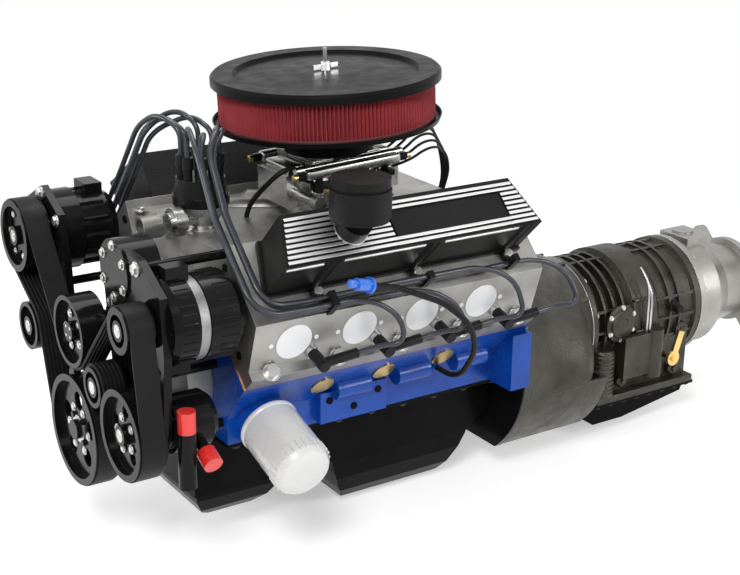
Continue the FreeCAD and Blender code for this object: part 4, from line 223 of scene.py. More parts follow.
@dataclass(frozen=True)
class Finish:
    """Surface of one kind: its colour and mottling, its texture, and the lighter tone on its edges, partly
    wear and partly a painted highlight.
    """

    name: str
    colour: Colour
    shade: Colour
    roughness: float
    metallic: float = 0.0
    grain: Grain = Grain.MOULDED
    scale: float = 500.0
    bump: float = 0.25
    depth: float = 0.0002
    coat: float = 0.0
    # lit_worn_edge and lit_worn_share: lighter colour on the edges and its share, partly wear and partly a
    # painted edge highlight
    lit_worn_edge: Colour = (0.5, 0.5, 0.5)
    lit_worn_share: float = 0.0
    edge: float = 0.0007
    patches: float = 14.0
    sway: float = 0.08
    specular: float = 0.5
    top_at: Optional[float] = None
    top_side: float = 0.0
    top_colour: Colour = (0.80, 0.80, 0.80)
    top_roughness: float = 0.36

    def material(self) -> bpy.types.Material:
        """The finish as a material, made once and then shared."""
        found = bpy.data.materials.get(f"{self.name}_finish")
        return found or self._make()

    def _make(self) -> bpy.types.Material:
        """Builds the node tree of the finish.

        Returns:
            The new material.
        """
        made = bpy.data.materials.new(f"{self.name}_finish")
        wires = Wiring(made)
        rounded = wires.node("ShaderNodeBevel", {"samples": 4}, Radius=self.edge).outputs[0]
        patch = wires.spread(wires.noise(self.patches, 4.0), *NOISE_RANGE, 0.0, 1.0)
        colour = wires.blend(patch, self.colour, self.shade)
        # Lighter tone on the edges, partly wear and partly a painted highlight, broken up by scratch noise
        if self.lit_worn_share:
            flat = wires.node("ShaderNodeNewGeometry").outputs["True Normal"]
            match = wires.node("ShaderNodeVectorMath", {"operation": "DOT_PRODUCT"}, i0=rounded, i1=flat)
            lit_worn_mask = wires.spread(match.outputs["Value"], *EDGE_COSINES, self.lit_worn_share, 0.0)
            broken = wires.spread(wires.noise(SCRATCH_SCALE), 0.35, 0.6, 0.2, 1.0)
            lit_worn_mask = wires.maths("MULTIPLY", lit_worn_mask, broken)
            colour = wires.blend(lit_worn_mask, colour, self.lit_worn_edge)
        rough = wires.spread(wires.noise(self.patches * 3.0, 5.0), *NOISE_RANGE,
                             self.roughness - self.sway, self.roughness + self.sway)
        relief = self._relief(wires, wires.height(self.grain, self.scale), rounded)
        shader = wires.node("ShaderNodeBsdfPrincipled", Base_Color=colour, Roughness=rough,
                            Metallic=self.metallic, Normal=relief, Coat_Weight=self.coat,
                            Coat_Roughness=0.08, Specular_IOR_Level=self.specular)
        if self.top_at is not None:
            self._polish_tops(wires, shader, colour, rounded)
        wires.plug(wires.output, shader.outputs[0])
        return made

    def _relief(self, wires: Wiring, height: Socket, rounded: Socket) -> Socket:
        """Normal that a height pattern gives on top of the softened edges."""
        return wires.node("ShaderNodeBump", Strength=self.bump, Distance=self.depth, Height=height,
                          Normal=rounded).outputs[0]

    def _polish_tops(self, wires: Wiring, shader: bpy.types.Node, colour: Socket, rounded: Socket) -> None:
        """Machines bare what stands above a height along the bank, as on the fins of a cover.

        Args:
            wires: the material being built.
            shader: its shader node.
            colour: colour below that height.
            rounded: normal with softened edges.
        """
        parts = wires.node("ShaderNodeSeparateXYZ", Vector=wires.coords)
        lean = wires.maths("MULTIPLY", parts.outputs["Y"], self.top_side * HALF_RIGHT)
        rise = wires.maths("ADD", wires.maths("MULTIPLY", parts.outputs["Z"], HALF_RIGHT), lean)
        mask = wires.maths("GREATER_THAN", rise, self.top_at)
        painted = wires.maths("SUBTRACT", 1.0, mask)
        quiet = wires.maths("MULTIPLY", wires.height(self.grain, self.scale), painted)
        for word, value in (("Base Color", wires.blend(mask, colour, self.top_colour)), ("Metallic", mask),
                            ("Roughness", wires.spread(mask, 0.0, 1.0, self.roughness, self.top_roughness)),
                            ("Normal", self._relief(wires, quiet, rounded))):
            wires.plug(shader.inputs[word], value)


def grey(level: float, blue: float = 0.0) -> Colour:
    """A grey, with a little more blue if wanted."""
    return (level, level, level + blue)


class Coats:
    """All finishes of the engine."""

    BLOCK = Finish("block_enamel", (0.004, 0.072, 0.41), (0.003, 0.045, 0.29), 0.24, grain=Grain.CAST,
                   scale=260.0, bump=0.35, depth=0.0006, lit_worn_edge=(0.05, 0.24, 0.80), lit_worn_share=0.35, specular=0.3)
    IRON = Finish("cast_iron", grey(0.20), grey(0.13), 0.55, 0.8, Grain.CAST, 320.0, 0.5, 0.0006)
    STEEL = Finish("machined_steel", grey(0.56), (0.42, 0.42, 0.43), 0.32, 1.0, Grain.BRUSHED, 900.0, 0.15)
    BOLT = Finish("zinc_bolt", (0.62, 0.62, 0.60), (0.46, 0.46, 0.44), 0.30, 1.0, Grain.BRUSHED, 1200.0, 0.15)
    DARK_BOLT = Finish("black_oxide_bolt", (0.035, 0.035, 0.037), (0.02, 0.02, 0.021), 0.34, 0.6,
                       Grain.BRUSHED, 1200.0, 0.2, lit_worn_edge=grey(0.25), lit_worn_share=0.5)
    ALUMINIUM = Finish("cast_aluminium", (0.38, 0.375, 0.355), (0.27, 0.265, 0.25), 0.40, 0.9, Grain.CAST,
                       420.0, 0.5, 0.0006, lit_worn_edge=(0.72, 0.72, 0.70), lit_worn_share=0.6)
    MACHINED = Finish("machined_aluminium", (0.50, 0.50, 0.485), (0.36, 0.36, 0.35), 0.27, 1.0,
                      Grain.BRUSHED, 700.0, 0.2, lit_worn_edge=grey(0.85), lit_worn_share=0.4)
    GLOSS = Finish("gloss_black", grey(0.004, 0.0005), grey(0.007, 0.0005), 0.15, 0.0, Grain.PAINT, 160.0,
                   0.05, 0.0003, lit_worn_edge=grey(0.07), lit_worn_share=0.4, sway=0.04, specular=0.12)
    SATIN = Finish("satin_black", grey(0.005, 0.0005), grey(0.008, 0.0005), 0.34, 0.0, Grain.PAINT, 900.0,
                   0.16, 0.0002, lit_worn_edge=grey(0.05), lit_worn_share=0.4, specular=0.05)
    CRINKLE = Finish("crinkle_black", grey(0.007), grey(0.004), 0.42, 0.0, Grain.CRINKLE, 620.0, 0.75,
                     0.0008, lit_worn_edge=grey(0.04), lit_worn_share=0.4, specular=0.14)
    PAN = Finish("pan_enamel", grey(0.004, 0.0005), grey(0.007, 0.0005), 0.20, 0.0, Grain.PAINT, 120.0,
                 0.10, 0.0006, lit_worn_edge=grey(0.05), lit_worn_share=0.3, specular=0.04)
    WHITE = Finish("white_enamel", (0.70, 0.70, 0.69), (0.64, 0.64, 0.63), 0.28, 0.0, Grain.PAINT, 240.0,
                   0.06, 0.0003, coat=0.5, lit_worn_edge=(0.86, 0.86, 0.85), lit_worn_share=0.2)
    BRASS = Finish("brass", (0.76, 0.56, 0.22), (0.58, 0.40, 0.15), 0.30, 1.0, Grain.BRUSHED, 600.0, 0.2,
                   lit_worn_edge=(0.9, 0.72, 0.36), lit_worn_share=0.4)
    CASE = Finish("dark_casting", (0.068, 0.065, 0.054), (0.026, 0.025, 0.020), 0.38, 0.75, Grain.CAST,
                  230.0, 0.6, 0.0010, lit_worn_edge=(0.34, 0.33, 0.30), lit_worn_share=0.8, patches=16.0, sway=0.12)
    COPPER = Finish("copper", (0.72, 0.32, 0.15), (0.55, 0.22, 0.10), 0.34, 1.0, Grain.BRUSHED, 500.0, 0.2)
    PLEAT = Finish("red_pleat", (0.38, 0.040, 0.048), (0.26, 0.024, 0.030), 0.72, 0.0, Grain.WOVEN, 1500.0,
                   0.5, 0.0003, lit_worn_edge=(0.55, 0.10, 0.10), lit_worn_share=0.4)
    RIM_RUBBER = Finish("rim_rubber", (0.10, 0.015, 0.018), (0.07, 0.010, 0.012), 0.6, 0.0, Grain.MOULDED,
                        400.0, 0.2)
    POLISH = Finish("polished_fin", (0.80, 0.80, 0.79), (0.66, 0.66, 0.65), 0.34, 0.9, Grain.BRUSHED, 900.0,
                    0.12)
    CHROME = Finish("chrome", (0.82, 0.82, 0.83), (0.72, 0.72, 0.73), 0.08, 1.0, Grain.PAINT, 80.0, 0.03,
                    sway=0.02)
    COVER = Finish("port_cover_white", (0.80, 0.81, 0.82), (0.75, 0.76, 0.77), 0.42, 0.0, Grain.MOULDED,
                   500.0, 0.1)
    CAP = Finish("cap_black", grey(0.007, 0.0005), grey(0.011, 0.0005), 0.24, 0.0, Grain.MOULDED, 700.0,
                 0.12, lit_worn_edge=grey(0.07), lit_worn_share=0.4, specular=0.1)
    LEAD = Finish("lead_sheath", (0.036, 0.040, 0.050), (0.022, 0.025, 0.032), 0.26, 0.0, Grain.MOULDED,
                  900.0, 0.12, specular=0.4)
    BOOT = Finish("boot_rubber", grey(0.008, 0.0005), grey(0.014, 0.0005), 0.36, 0.0, Grain.MOULDED, 800.0,
                  0.2, lit_worn_edge=grey(0.06), lit_worn_share=0.3, specular=0.1)
    HANDLE = Finish("blue_handle", (0.012, 0.16, 0.72), (0.008, 0.12, 0.60), 0.28, 0.0, Grain.MOULDED,
                    300.0, 0.08, coat=0.5, lit_worn_edge=(0.2, 0.4, 0.9), lit_worn_share=0.2)
    BELT = Finish("belt_rubber", grey(0.008, 0.0005), grey(0.013, 0.0005), 0.46, 0.0, Grain.WOVEN, 900.0,
                  0.4, 0.0002, lit_worn_edge=grey(0.05), lit_worn_share=0.4, specular=0.11)
    # Near-black disc for the inside of a threaded hole: painted shade
    HOLE_SHADE = Finish("painted_hole_shade", grey(0.002), grey(0.004), 0.8, 0.0, Grain.MOULDED, 300.0, 0.1, specular=0.1)
    LAMINATION = Finish("laminations", grey(0.30), grey(0.16), 0.34, 1.0, Grain.BRUSHED, 1500.0, 0.5, 0.0006)
    RED_CAP = Finish("red_cap", (0.78, 0.030, 0.022), (0.66, 0.020, 0.016), 0.30, 0.0, Grain.MOULDED, 300.0,
                     0.08, coat=0.4, lit_worn_edge=(0.95, 0.25, 0.2), lit_worn_share=0.25)


NODES_OF: dict[Finish, tuple[str, ...]] = {
    Coats.BLOCK: ("engine_block",),
    Coats.ALUMINIUM: ("cylinder_head_left", "cylinder_head_right", "intake_manifold", "timing_cover",
                      "transfer_adapter"),
    Coats.COPPER: ("head_gaskets",),
    Coats.BOLT: ("head_and_cover_bolts",),
    Coats.MACHINED: ("carburettor", "distributor_body"),
    Coats.BRASS: ("throttle_plates_front", "throttle_plates_rear", "core_plugs", "shift_lever"),
    Coats.SATIN: ("air_cleaner_base", "air_cleaner_lid"),
    Coats.CHROME: ("wing_nut",),
    Coats.CRINKLE: ("breather",),
    Coats.COVER: ("port_covers",),
    Coats.CAP: ("distributor_cap", "distributor_rotor"),
    Coats.LEAD: ("plug_wires",),
    Coats.BOOT: ("wire_boots_and_combs", "dipstick_tube"),
    Coats.HANDLE: ("dipstick",),
    Coats.IRON: ("main_bearing_caps", "oil_pump"),
    Coats.PAN: ("oil_pan", "transmission_pan"),
    Coats.WHITE: ("oil_filter",),
    Coats.CASE: ("bellhousing", "transmission_case"),
    Coats.BELT: ("serpentine_belt",),
    Coats.RED_CAP: ("hose_caps",),
    Coats.GLOSS: ("engine_plate", "crank_pulley", "power_steering_pulley", "alternator_pulley",
                  "ac_clutch_pulley", "water_pump_pulley", "idler_pulley", "tensioner_pulley",
                  "tensioner_arm", "water_pump", "alternator", "ac_compressor", "power_steering_pump",
                  "accessory_bracket_left", "accessory_bracket_right"),
}
POLISHED_DEPTH = 0.0006


def cover_finish(name: str, piece: Piece) -> Finish:
    """Finish of a valve cover: crinkle paint, with the tops of its fins machined bare.

    Args:
        name: node of the cover.
        piece: the cover.

    Returns:
        The finish, with the height of the tops in it.
    """
    side = 1.0 if name.endswith("right") else -1.0
    tops = [side * corner.co.y * HALF_RIGHT + corner.co.z * HALF_RIGHT for corner in piece.data.vertices]
    return Finish(f"{name}_enamel", grey(0.007), grey(0.004), 0.42, 0.0, Grain.CRINKLE, 620.0, 0.75, 0.0008,
                  specular=0.14, top_at=max(tops) - POLISHED_DEPTH, top_side=side)


def paint_nodes() -> None:
    """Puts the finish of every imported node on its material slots; what isn't listed is steel."""
    finishes = {name: finish for finish, names in NODES_OF.items() for name in names}
    for name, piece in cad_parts.items():
        covered = name.startswith("valve_cover")
        finish = cover_finish(name, piece) if covered else finishes.get(name, Coats.STEEL)
        for holder in piece.material_slots:
            holder.material = finish.material()


def add(name: str, data: bpy.types.ID) -> Piece:
    """Puts a mesh, a curve, a camera or a lamp in the scene as an object."""
    made = bpy.data.objects.new(name, data)
    bpy.context.scene.collection.objects.link(made)
    return made


def link(name: str, mesh: bpy.types.Mesh, finish: Finish) -> Piece:
    """Gives a mesh its finish and puts it in the scene.

    Args:
        name: name of the piece.
        mesh: its mesh, already in place.
        finish: its surface.

    Returns:
        The new object at the origin.
    """
    mesh.materials.clear()
    mesh.materials.append(finish.material())
    return add(name, mesh)


def settle(piece: Piece, body: str, slot: str, *instead: str) -> Piece:
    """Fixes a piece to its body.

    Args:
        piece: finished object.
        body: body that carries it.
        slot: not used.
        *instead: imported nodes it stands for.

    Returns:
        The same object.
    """
    if instead:
        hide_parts(*instead)
    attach(piece, body)
    LOG.info("%s: %d faces on %s", piece.name, len(piece.data.polygons), body)
    return piece


def bake(piece: Piece) -> Piece:
    """Turns a piece with modifiers into a plain mesh of the same name."""
    bpy.context.view_layer.update()
    graph = bpy.context.evaluated_depsgraph_get()
    mesh = bpy.data.meshes.new_from_object(piece.evaluated_get(graph), preserve_all_data_layers=True,
                                           depsgraph=graph)
    name, old = piece.name, piece.data
    finish = [holder.material for holder in piece.material_slots]
    bpy.data.objects.remove(piece)
    if isinstance(old, bpy.types.Mesh):
        bpy.data.meshes.remove(old)
    if not mesh.materials and finish:
        mesh.materials.append(finish[0])
    return add(name, mesh)


def solid(work: bmesh.types.BMesh, name: str, sharp: Optional[float] = None) -> bpy.types.Mesh:
    """Ends a mesh that is being built.

    Args:
        work: its corners and faces.
        name: name of the mesh.
        sharp: smallest angle of a sharp edge, in degrees; faces stay flat without it.

    Returns:
        The mesh, with normals outward.
    """
    bmesh.ops.recalc_face_normals(work, faces=work.faces)
    mesh = bpy.data.meshes.new(name)
    work.to_mesh(mesh)
    work.free()
    if sharp is not None:
        mesh.polygons.foreach_set("use_smooth", [True] * len(mesh.polygons))
        mesh.set_sharp_from_angle(angle=math.radians(sharp))
    return mesh


def bridge(work: bmesh.types.BMesh, rows: Sequence[list]) -> None:
    """Adds the faces between each row of corners and the next; every row is a closed ring."""
    for first, second in zip(rows, rows[1:]):
        for index in range(len(first)):
            after = (index + 1) % len(first)
            work.faces.new((first[index], first[after], second[after], second[index]))


def lathe(profile: Sequence[tuple[float, float]], where: Matrix, segments: int = 64) -> bpy.types.Mesh:
    """A closed turned solid.

    Args:
        profile: radius and height of each point, in millimetres, going round the section.
        where: place and turn of its axis.
        segments: faces round the axis.

    Returns:
        The mesh, with normals outward and smooth faces.
    """
    work = bmesh.new()
    rings = []
    for radius, height in profile:
        turns = [math.tau * step / segments for step in range(segments)] if radius else [0.0]
        places = [(radius / MM * math.cos(turn), radius / MM * math.sin(turn), height / MM) for turn in turns]
        rings.append([work.verts.new(place) for place in places])
    closed = len(rings[0]) > 1 and len(rings[-1]) > 1
    for first, second in zip(rings, rings[1:] + (rings[:1] if closed else [])):
        for step in range(segments):
            after = (step + 1) % segments
            corners = [first[step % len(first)], first[after % len(first)], second[after % len(second)],
                       second[step % len(second)]]
            unique = list(dict.fromkeys(corners))
            if len(unique) > 2:
                work.faces.new(unique)
    work.transform(where)
    return solid(work, "turned", sharp=28.0)


def pointing(place: Vector, direction: Vector) -> Matrix:
    """Matrix that puts a z axis at a place along a direction."""
    return Matrix.Translation(place) @ direction.to_track_quat("Z", "Y").to_matrix().to_4x4()


class Tree(Nodes):
    """A geometry tree being built, with named inputs."""

    def __init__(self, name: str, **inputs: float) -> None:
        """Makes the tree and its inputs, with the material as the last one.

        Args:
            name: name of the tree.
            **inputs: names, with _ for a space, and defaults; whole numbers are counts.
        """
        super().__init__(bpy.data.node_groups.new(name, "GeometryNodeTree"))
        face = self.tree.interface
        face.new_socket("Geometry", in_out="INPUT", socket_type="NodeSocketGeometry")
        for word, value in inputs.items():
            kind = "NodeSocketInt" if isinstance(value, int) else "NodeSocketFloat"
            face.new_socket(word.replace("_", " "), in_out="INPUT", socket_type=kind).default_value = value
        face.new_socket("Finish", in_out="INPUT", socket_type="NodeSocketMaterial")
        face.new_socket("Geometry", in_out="OUTPUT", socket_type="NodeSocketGeometry")
        self.inputs = self.tree.nodes.new("NodeGroupInput").outputs
        self.output = self.tree.nodes.new("NodeGroupOutput").inputs[0]

    def finish(self, geometry: Socket) -> bpy.types.NodeTree:
        """Ends the tree in real geometry with its material."""
        real = self.node("GeometryNodeRealizeInstances", Geometry=geometry)
        coat = self.node("GeometryNodeSetMaterial", Geometry=real.outputs[0], Material=self.inputs["Finish"])
        self.plug(self.output, coat.outputs[0])
        return self.tree

    @staticmethod
    def run(piece: Piece, tree: bpy.types.NodeTree, finish: Finish, **values: float) -> Piece:
        """Grows a tree on a piece and turns the result into a plain mesh.

        Args:
            piece: object that carries the points.
            tree: the geometry tree.
            finish: surface of what grows.
            **values: its inputs, lengths in millimetres and counts as whole numbers.

        Returns:
            The plain object.
        """
        grower = piece.modifiers.new("grow", "NODES")
        grower.node_group = tree
        given = {word.replace("_", " "): value / MM if isinstance(value, float) else value
                 for word, value in values.items()}
        given["Finish"] = finish.material()
        for item in tree.interface.items_tree:
            if item.item_type == "SOCKET" and item.in_out == "INPUT" and item.name in given:
                grower[item.identifier] = given[item.name]
        return bake(piece)


@dataclass(frozen=True)
class Stud:
    """Place, direction and size factor of one fastener."""

    place: Vector
    way: Vector
    size: float = 1.0


@dataclass(frozen=True)
class Head:
    """Head of a fastener, in millimetres; six sides make a hexagon, more make it round."""

    radius: float
    height: float
    sides: int
    washer: float


def circle(count: int, centre: Point, radius: float, way: Vector, first: float = 0.0, size: float = 1.0,
           span: float = 360.0) -> list[Stud]:
    """Fasteners on a circle round an axis that is parallel to the crank.

    Args:
        count: number of fasteners.
        centre: middle of the circle, in millimetres on the engine.
        radius: of the circle, in millimetres.
        way: direction they point in.
        first: angle of the first one, in degrees.
        size: their size factor.
        span: angle that they share, in degrees.

    Returns:
        The fasteners.
    """
    x, y, z = centre
    turns = [math.radians(first + span * step / count) for step in range(count)]
    return [Stud(at(x, y + radius * math.cos(turn), z + radius * math.sin(turn)), way, size)
            for turn in turns]


class HardwareTree:
    """Hexagon or socket heads with their washers on every point."""

    TIP_RADIUS = 0.0028
    TIP_HEIGHT = 0.0008
    WASHER_HEIGHT = 0.0018

    def __init__(self) -> None:
        """Builds the tree once for all groups of fasteners."""
        tree = Tree("fasteners", Head_Radius=0.0065, Head_Height=0.005, Sides=6, Washer_Radius=0.0085)
        radius, height, sides, rim = (tree.inputs[word] for word in (
            "Head Radius", "Head Height", "Sides", "Washer Radius"))
        head = tree.node("GeometryNodeMeshCylinder", Vertices=sides, Radius=radius, Depth=height)
        tip = tree.node("GeometryNodeMeshCone", Vertices=18, Radius_Top=self.TIP_RADIUS,
                        Radius_Bottom=tree.maths("MULTIPLY", radius, 0.72), Depth=self.TIP_HEIGHT)
        washer = tree.node("GeometryNodeMeshCylinder", Vertices=20, Radius=rim, Depth=self.WASHER_HEIGHT)
        whole = tree.node("GeometryNodeJoinGeometry")
        for piece, rise in ((head, tree.maths("MULTIPLY", height, 0.5)), (tip, height),
                            (washer, self.WASHER_HEIGHT / 2.0)):
            lift = tree.node("ShaderNodeCombineXYZ", Z=rise).outputs[0]
            moved = tree.node("GeometryNodeTransform", Geometry=piece.outputs[0], Translation=lift)
            tree.plug(whole.inputs[0], moved.outputs[0])
        way = tree.node("GeometryNodeInputNamedAttribute", {"data_type": "FLOAT_VECTOR"}, Name="way")
        turn = tree.node("FunctionNodeAlignRotationToVector", {"axis": "Z"}, Vector=way.outputs[0])
        scale = tree.node("GeometryNodeInputNamedAttribute", {"data_type": "FLOAT"}, Name="size")
        grown = tree.node("GeometryNodeInstanceOnPoints", Points=tree.inputs["Geometry"],
                          Instance=whole.outputs[0], Rotation=turn.outputs[0], Scale=scale.outputs[0])
        self.tree = tree.finish(grown.outputs[0])

    def drive(self, name: str, studs: Sequence[Stud], finish: Finish, head: Head, body: str = "engine",
              slot: str = "machined_steel") -> Piece:
        """Puts a group of fasteners on one body.

        Args:
            name: name of the group.
            studs: places and directions.
            finish: surface of the heads.
            head: size of the heads.
            body: body that carries them.
            slot: handed to settle, which does not use it.

        Returns:
            The finished piece.
        """
        mesh = bpy.data.meshes.new(name)
        mesh.from_pydata([stud.place for stud in studs], [], [])
        mesh.attributes.new("way", "FLOAT_VECTOR", "POINT")
        mesh.attributes.new("size", "FLOAT", "POINT")
        ways = [part for stud in studs for part in stud.way.normalized()]
        mesh.attributes["way"].data.foreach_set("vector", ways)
        mesh.attributes["size"].data.foreach_set("value", [stud.size for stud in studs])
        made = Tree.run(link(name, mesh, finish), self.tree, finish, Head_Radius=head.radius,
                        Head_Height=head.height, Sides=head.sides, Washer_Radius=head.washer)
        return settle(made, body, slot)


class RadialTree:
    """Bars set round a circle, as vent fins, pleats and knurls."""

    def __init__(self) -> None:
        """Builds the tree once for all rings."""
        tree = Tree("ring_of_bars", Count=24, Radius=0.05, Bar_Length=0.02, Bar_Depth=0.01, Bar_Width=0.003,
                    Corners=4)
        bar = tree.node("GeometryNodeMeshCylinder", Vertices=tree.inputs["Corners"], Radius=1.0, Depth=1.0)
        size = tree.node("ShaderNodeCombineXYZ", X=tree.inputs["Bar Depth"], Y=tree.inputs["Bar Width"],
                         Z=tree.inputs["Bar Length"])
        bar = tree.node("GeometryNodeTransform", Geometry=bar.outputs[0], Scale=size.outputs[0])
        count, radius = tree.inputs["Count"], tree.inputs["Radius"]
        ring = tree.node("GeometryNodeMeshCircle", Vertices=count, Radius=radius)
        place = tree.node("GeometryNodeInputPosition")
        turn = tree.node("FunctionNodeAlignRotationToVector", {"axis": "X", "pivot_axis": "Z"},
                         Vector=place.outputs[0])
        grown = tree.node("GeometryNodeInstanceOnPoints", Points=ring.outputs[0], Instance=bar.outputs[0],
                          Rotation=turn.outputs[0])
        self.tree = tree.finish(grown.outputs[0])

    def grow(self, name: str, where: Matrix, count: int, radius: float, length: float, depth: float,
             width: float, finish: Finish, corners: int = 4) -> Piece:
        """Sets bars round a circle.

        Args:
            name: name of the piece.
            where: place and axis of the circle.
            count: number of bars.
            radius: of the circle through their middles, in millimetres.
            length: along the axis, in millimetres.
            depth: half size across the circle, in millimetres.
            width: half size round the circle, in millimetres.
            finish: their surface.
            corners: corners of a bar's section.

        Returns:
            The plain object, in place.
        """
        start = link(name, bpy.data.meshes.new(name), finish)
        made = Tree.run(start, self.tree, finish, Count=count, Radius=radius, Bar_Length=length,
                        Bar_Depth=depth, Bar_Width=width, Corners=corners)
        made.data.transform(where)
        return made


def join(name: str, pieces: Sequence[Piece]) -> Piece:
    """Joins pieces into the first, keeping each one's material."""
    with bpy.context.temp_override(active_object=pieces[0], selected_editable_objects=list(pieces)):
        bpy.ops.object.join()
    pieces[0].name = name
    return pieces[0]


def rod(frame_of: Matrix, start: Point, way: Vector, length: float, radius: float, finish: Finish,
        lip: float = 0.8, segments: int = 32) -> Piece:
    """A short turned piece with softened ends.

    Args:
        frame_of: frame that its start and direction are given in, in metres.
        start: middle of its first end, in millimetres.
        way: direction of its axis.
        length: in millimetres.
        radius: in millimetres.
        finish: its surface.
        lip: size of the softened edge, in millimetres.
        segments: faces round the axis.

    Returns:
        The plain object.
    """
    where = frame_of @ pointing(Vector(start) / MM, way)
    profile = [(0.0, 0.0), (radius - lip, 0.0), (radius, lip), (radius, length - lip),
               (radius - lip, length), (0.0, length)]
    return link("turned", lathe(profile, where, segments), finish)


def block(frame_of: Matrix, low: Point, high: Point, finish: Finish, soft: float = 2.0) -> Piece:
    """A small cast box with rounded edges, between two corners in millimetres of a given frame."""
    work = bmesh.new()
    bmesh.ops.create_cube(work, size=1.0)
    bmesh.ops.scale(work, vec=(Vector(high) - Vector(low)) / MM, verts=work.verts)
    bmesh.ops.bevel(work, geom=list(work.edges), offset=soft / MM, segments=3, affect="EDGES", profile=0.5)
    work.transform(frame_of @ Matrix.Translation((Vector(high) + Vector(low)) / (2.0 * MM)))
    return link("cast_box", solid(work, "cast_box", sharp=50.0), finish)


def tube(name: str, points: Sequence[Point], radius: float, finish: Finish) -> Piece:
    """A bent pipe or wire along one smooth curve through the engine's places, in millimetres."""
    data = bpy.data.curves.new(name, "CURVE")
    data.dimensions = "3D"
    data.bevel_depth = radius / MM
    data.bevel_resolution = 3
    data.resolution_u = 8
    data.use_fill_caps = True
    spline = data.splines.new("NURBS")
    spline.points.add(len(points) - 1)
    for corner, point in zip(spline.points, points):
        corner.co = (*at(*point), 1.0)
    spline.order_u = 3
    spline.use_endpoint_u = True
    made = bake(add(name, data))
    made.data.polygons.foreach_set("use_smooth", [True] * len(made.data.polygons))
    made.data.materials.clear()
    made.data.materials.append(finish.material())
    return made


@dataclass
class AirCleaner:
    """The round filter: its pleats and end rims, in the frame of the carburettor."""

    pleats: int = 168
    pleat_width: float = 2.9
    rim: float = 7.0
    outer: float = 168.0
    depth: float = 8.0
    wall: float = 131.5
    low: float = 124.6
    high: float = 193.4

    @staticmethod
    def frame() -> Matrix:
        """Axis of the carburettor, leaning forward by its tilt."""
        tilt = Matrix.Rotation(math.radians(CARBURETTOR_TILT), 4, "Y")
        return Matrix.Translation(at(CARBURETTOR_X, 0.0, 300.0)) @ tilt

    def build(self, rings: RadialTree) -> None:
        """Makes the pleated element that stands for the plain one."""
        middle = self.frame() @ Matrix.Translation((0.0, 0.0, (self.low + self.high) / (2.0 * MM)))
        half = self.depth / 2
        folds = rings.grow("folds", middle, self.pleats, self.outer - half, self.high - self.low - 10.0, half,
                           self.pleat_width, Coats.PLEAT, 3)
        root, base, top = self.outer - self.depth, self.low + 4, self.high - 4
        sleeve = [(self.wall, base), (root, base), (root, top), (self.wall, top)]
        core = link("core", lathe(sleeve, self.frame(), 96), Coats.PLEAT)
        rims = []
        for base in (self.low, self.high - self.rim):
            top = base + self.rim
            section = [(self.wall - 0.4, base + 1), (self.wall + 1, base), (self.outer - 1.5, base),
                       (self.outer, base + 1.5), (self.outer, top - 1.5), (self.outer - 1.5, top),
                       (self.wall + 1, top), (self.wall - 0.4, top - 1)]
            rims.append(link("rim", lathe(section, self.frame(), 128), Coats.RIM_RUBBER))
        settle(join("pleated_element", [folds, core, *rims]), "engine", "filter_red", "air_filter")


@dataclass(frozen=True)
class Wheel:
    """A wheel of the belt, in millimetres; its side is 1 inside the belt's loop and -1 outside."""

    y: float
    z: float
    radius: float
    side: int


WHEELS: dict[str, Wheel] = {
    "crank": Wheel(0.0, 0.0, 82.0, 1), "tensioner_wheel": Wheel(165.0, 112.0, 38.0, -1),
    "cooling_wheel": Wheel(205.0, 247.0, 53.0, 1), "pump_wheel": Wheel(0.0, 156.0, 54.0, -1),
    "alternator_wheel": Wheel(-178.0, 215.0, 30.0, 1), "steering_wheel_pulley": Wheel(-171.0, 58.0, 63.0, 1),
    "idler_wheel": Wheel(-80.0, 97.0, 30.0, -1)}


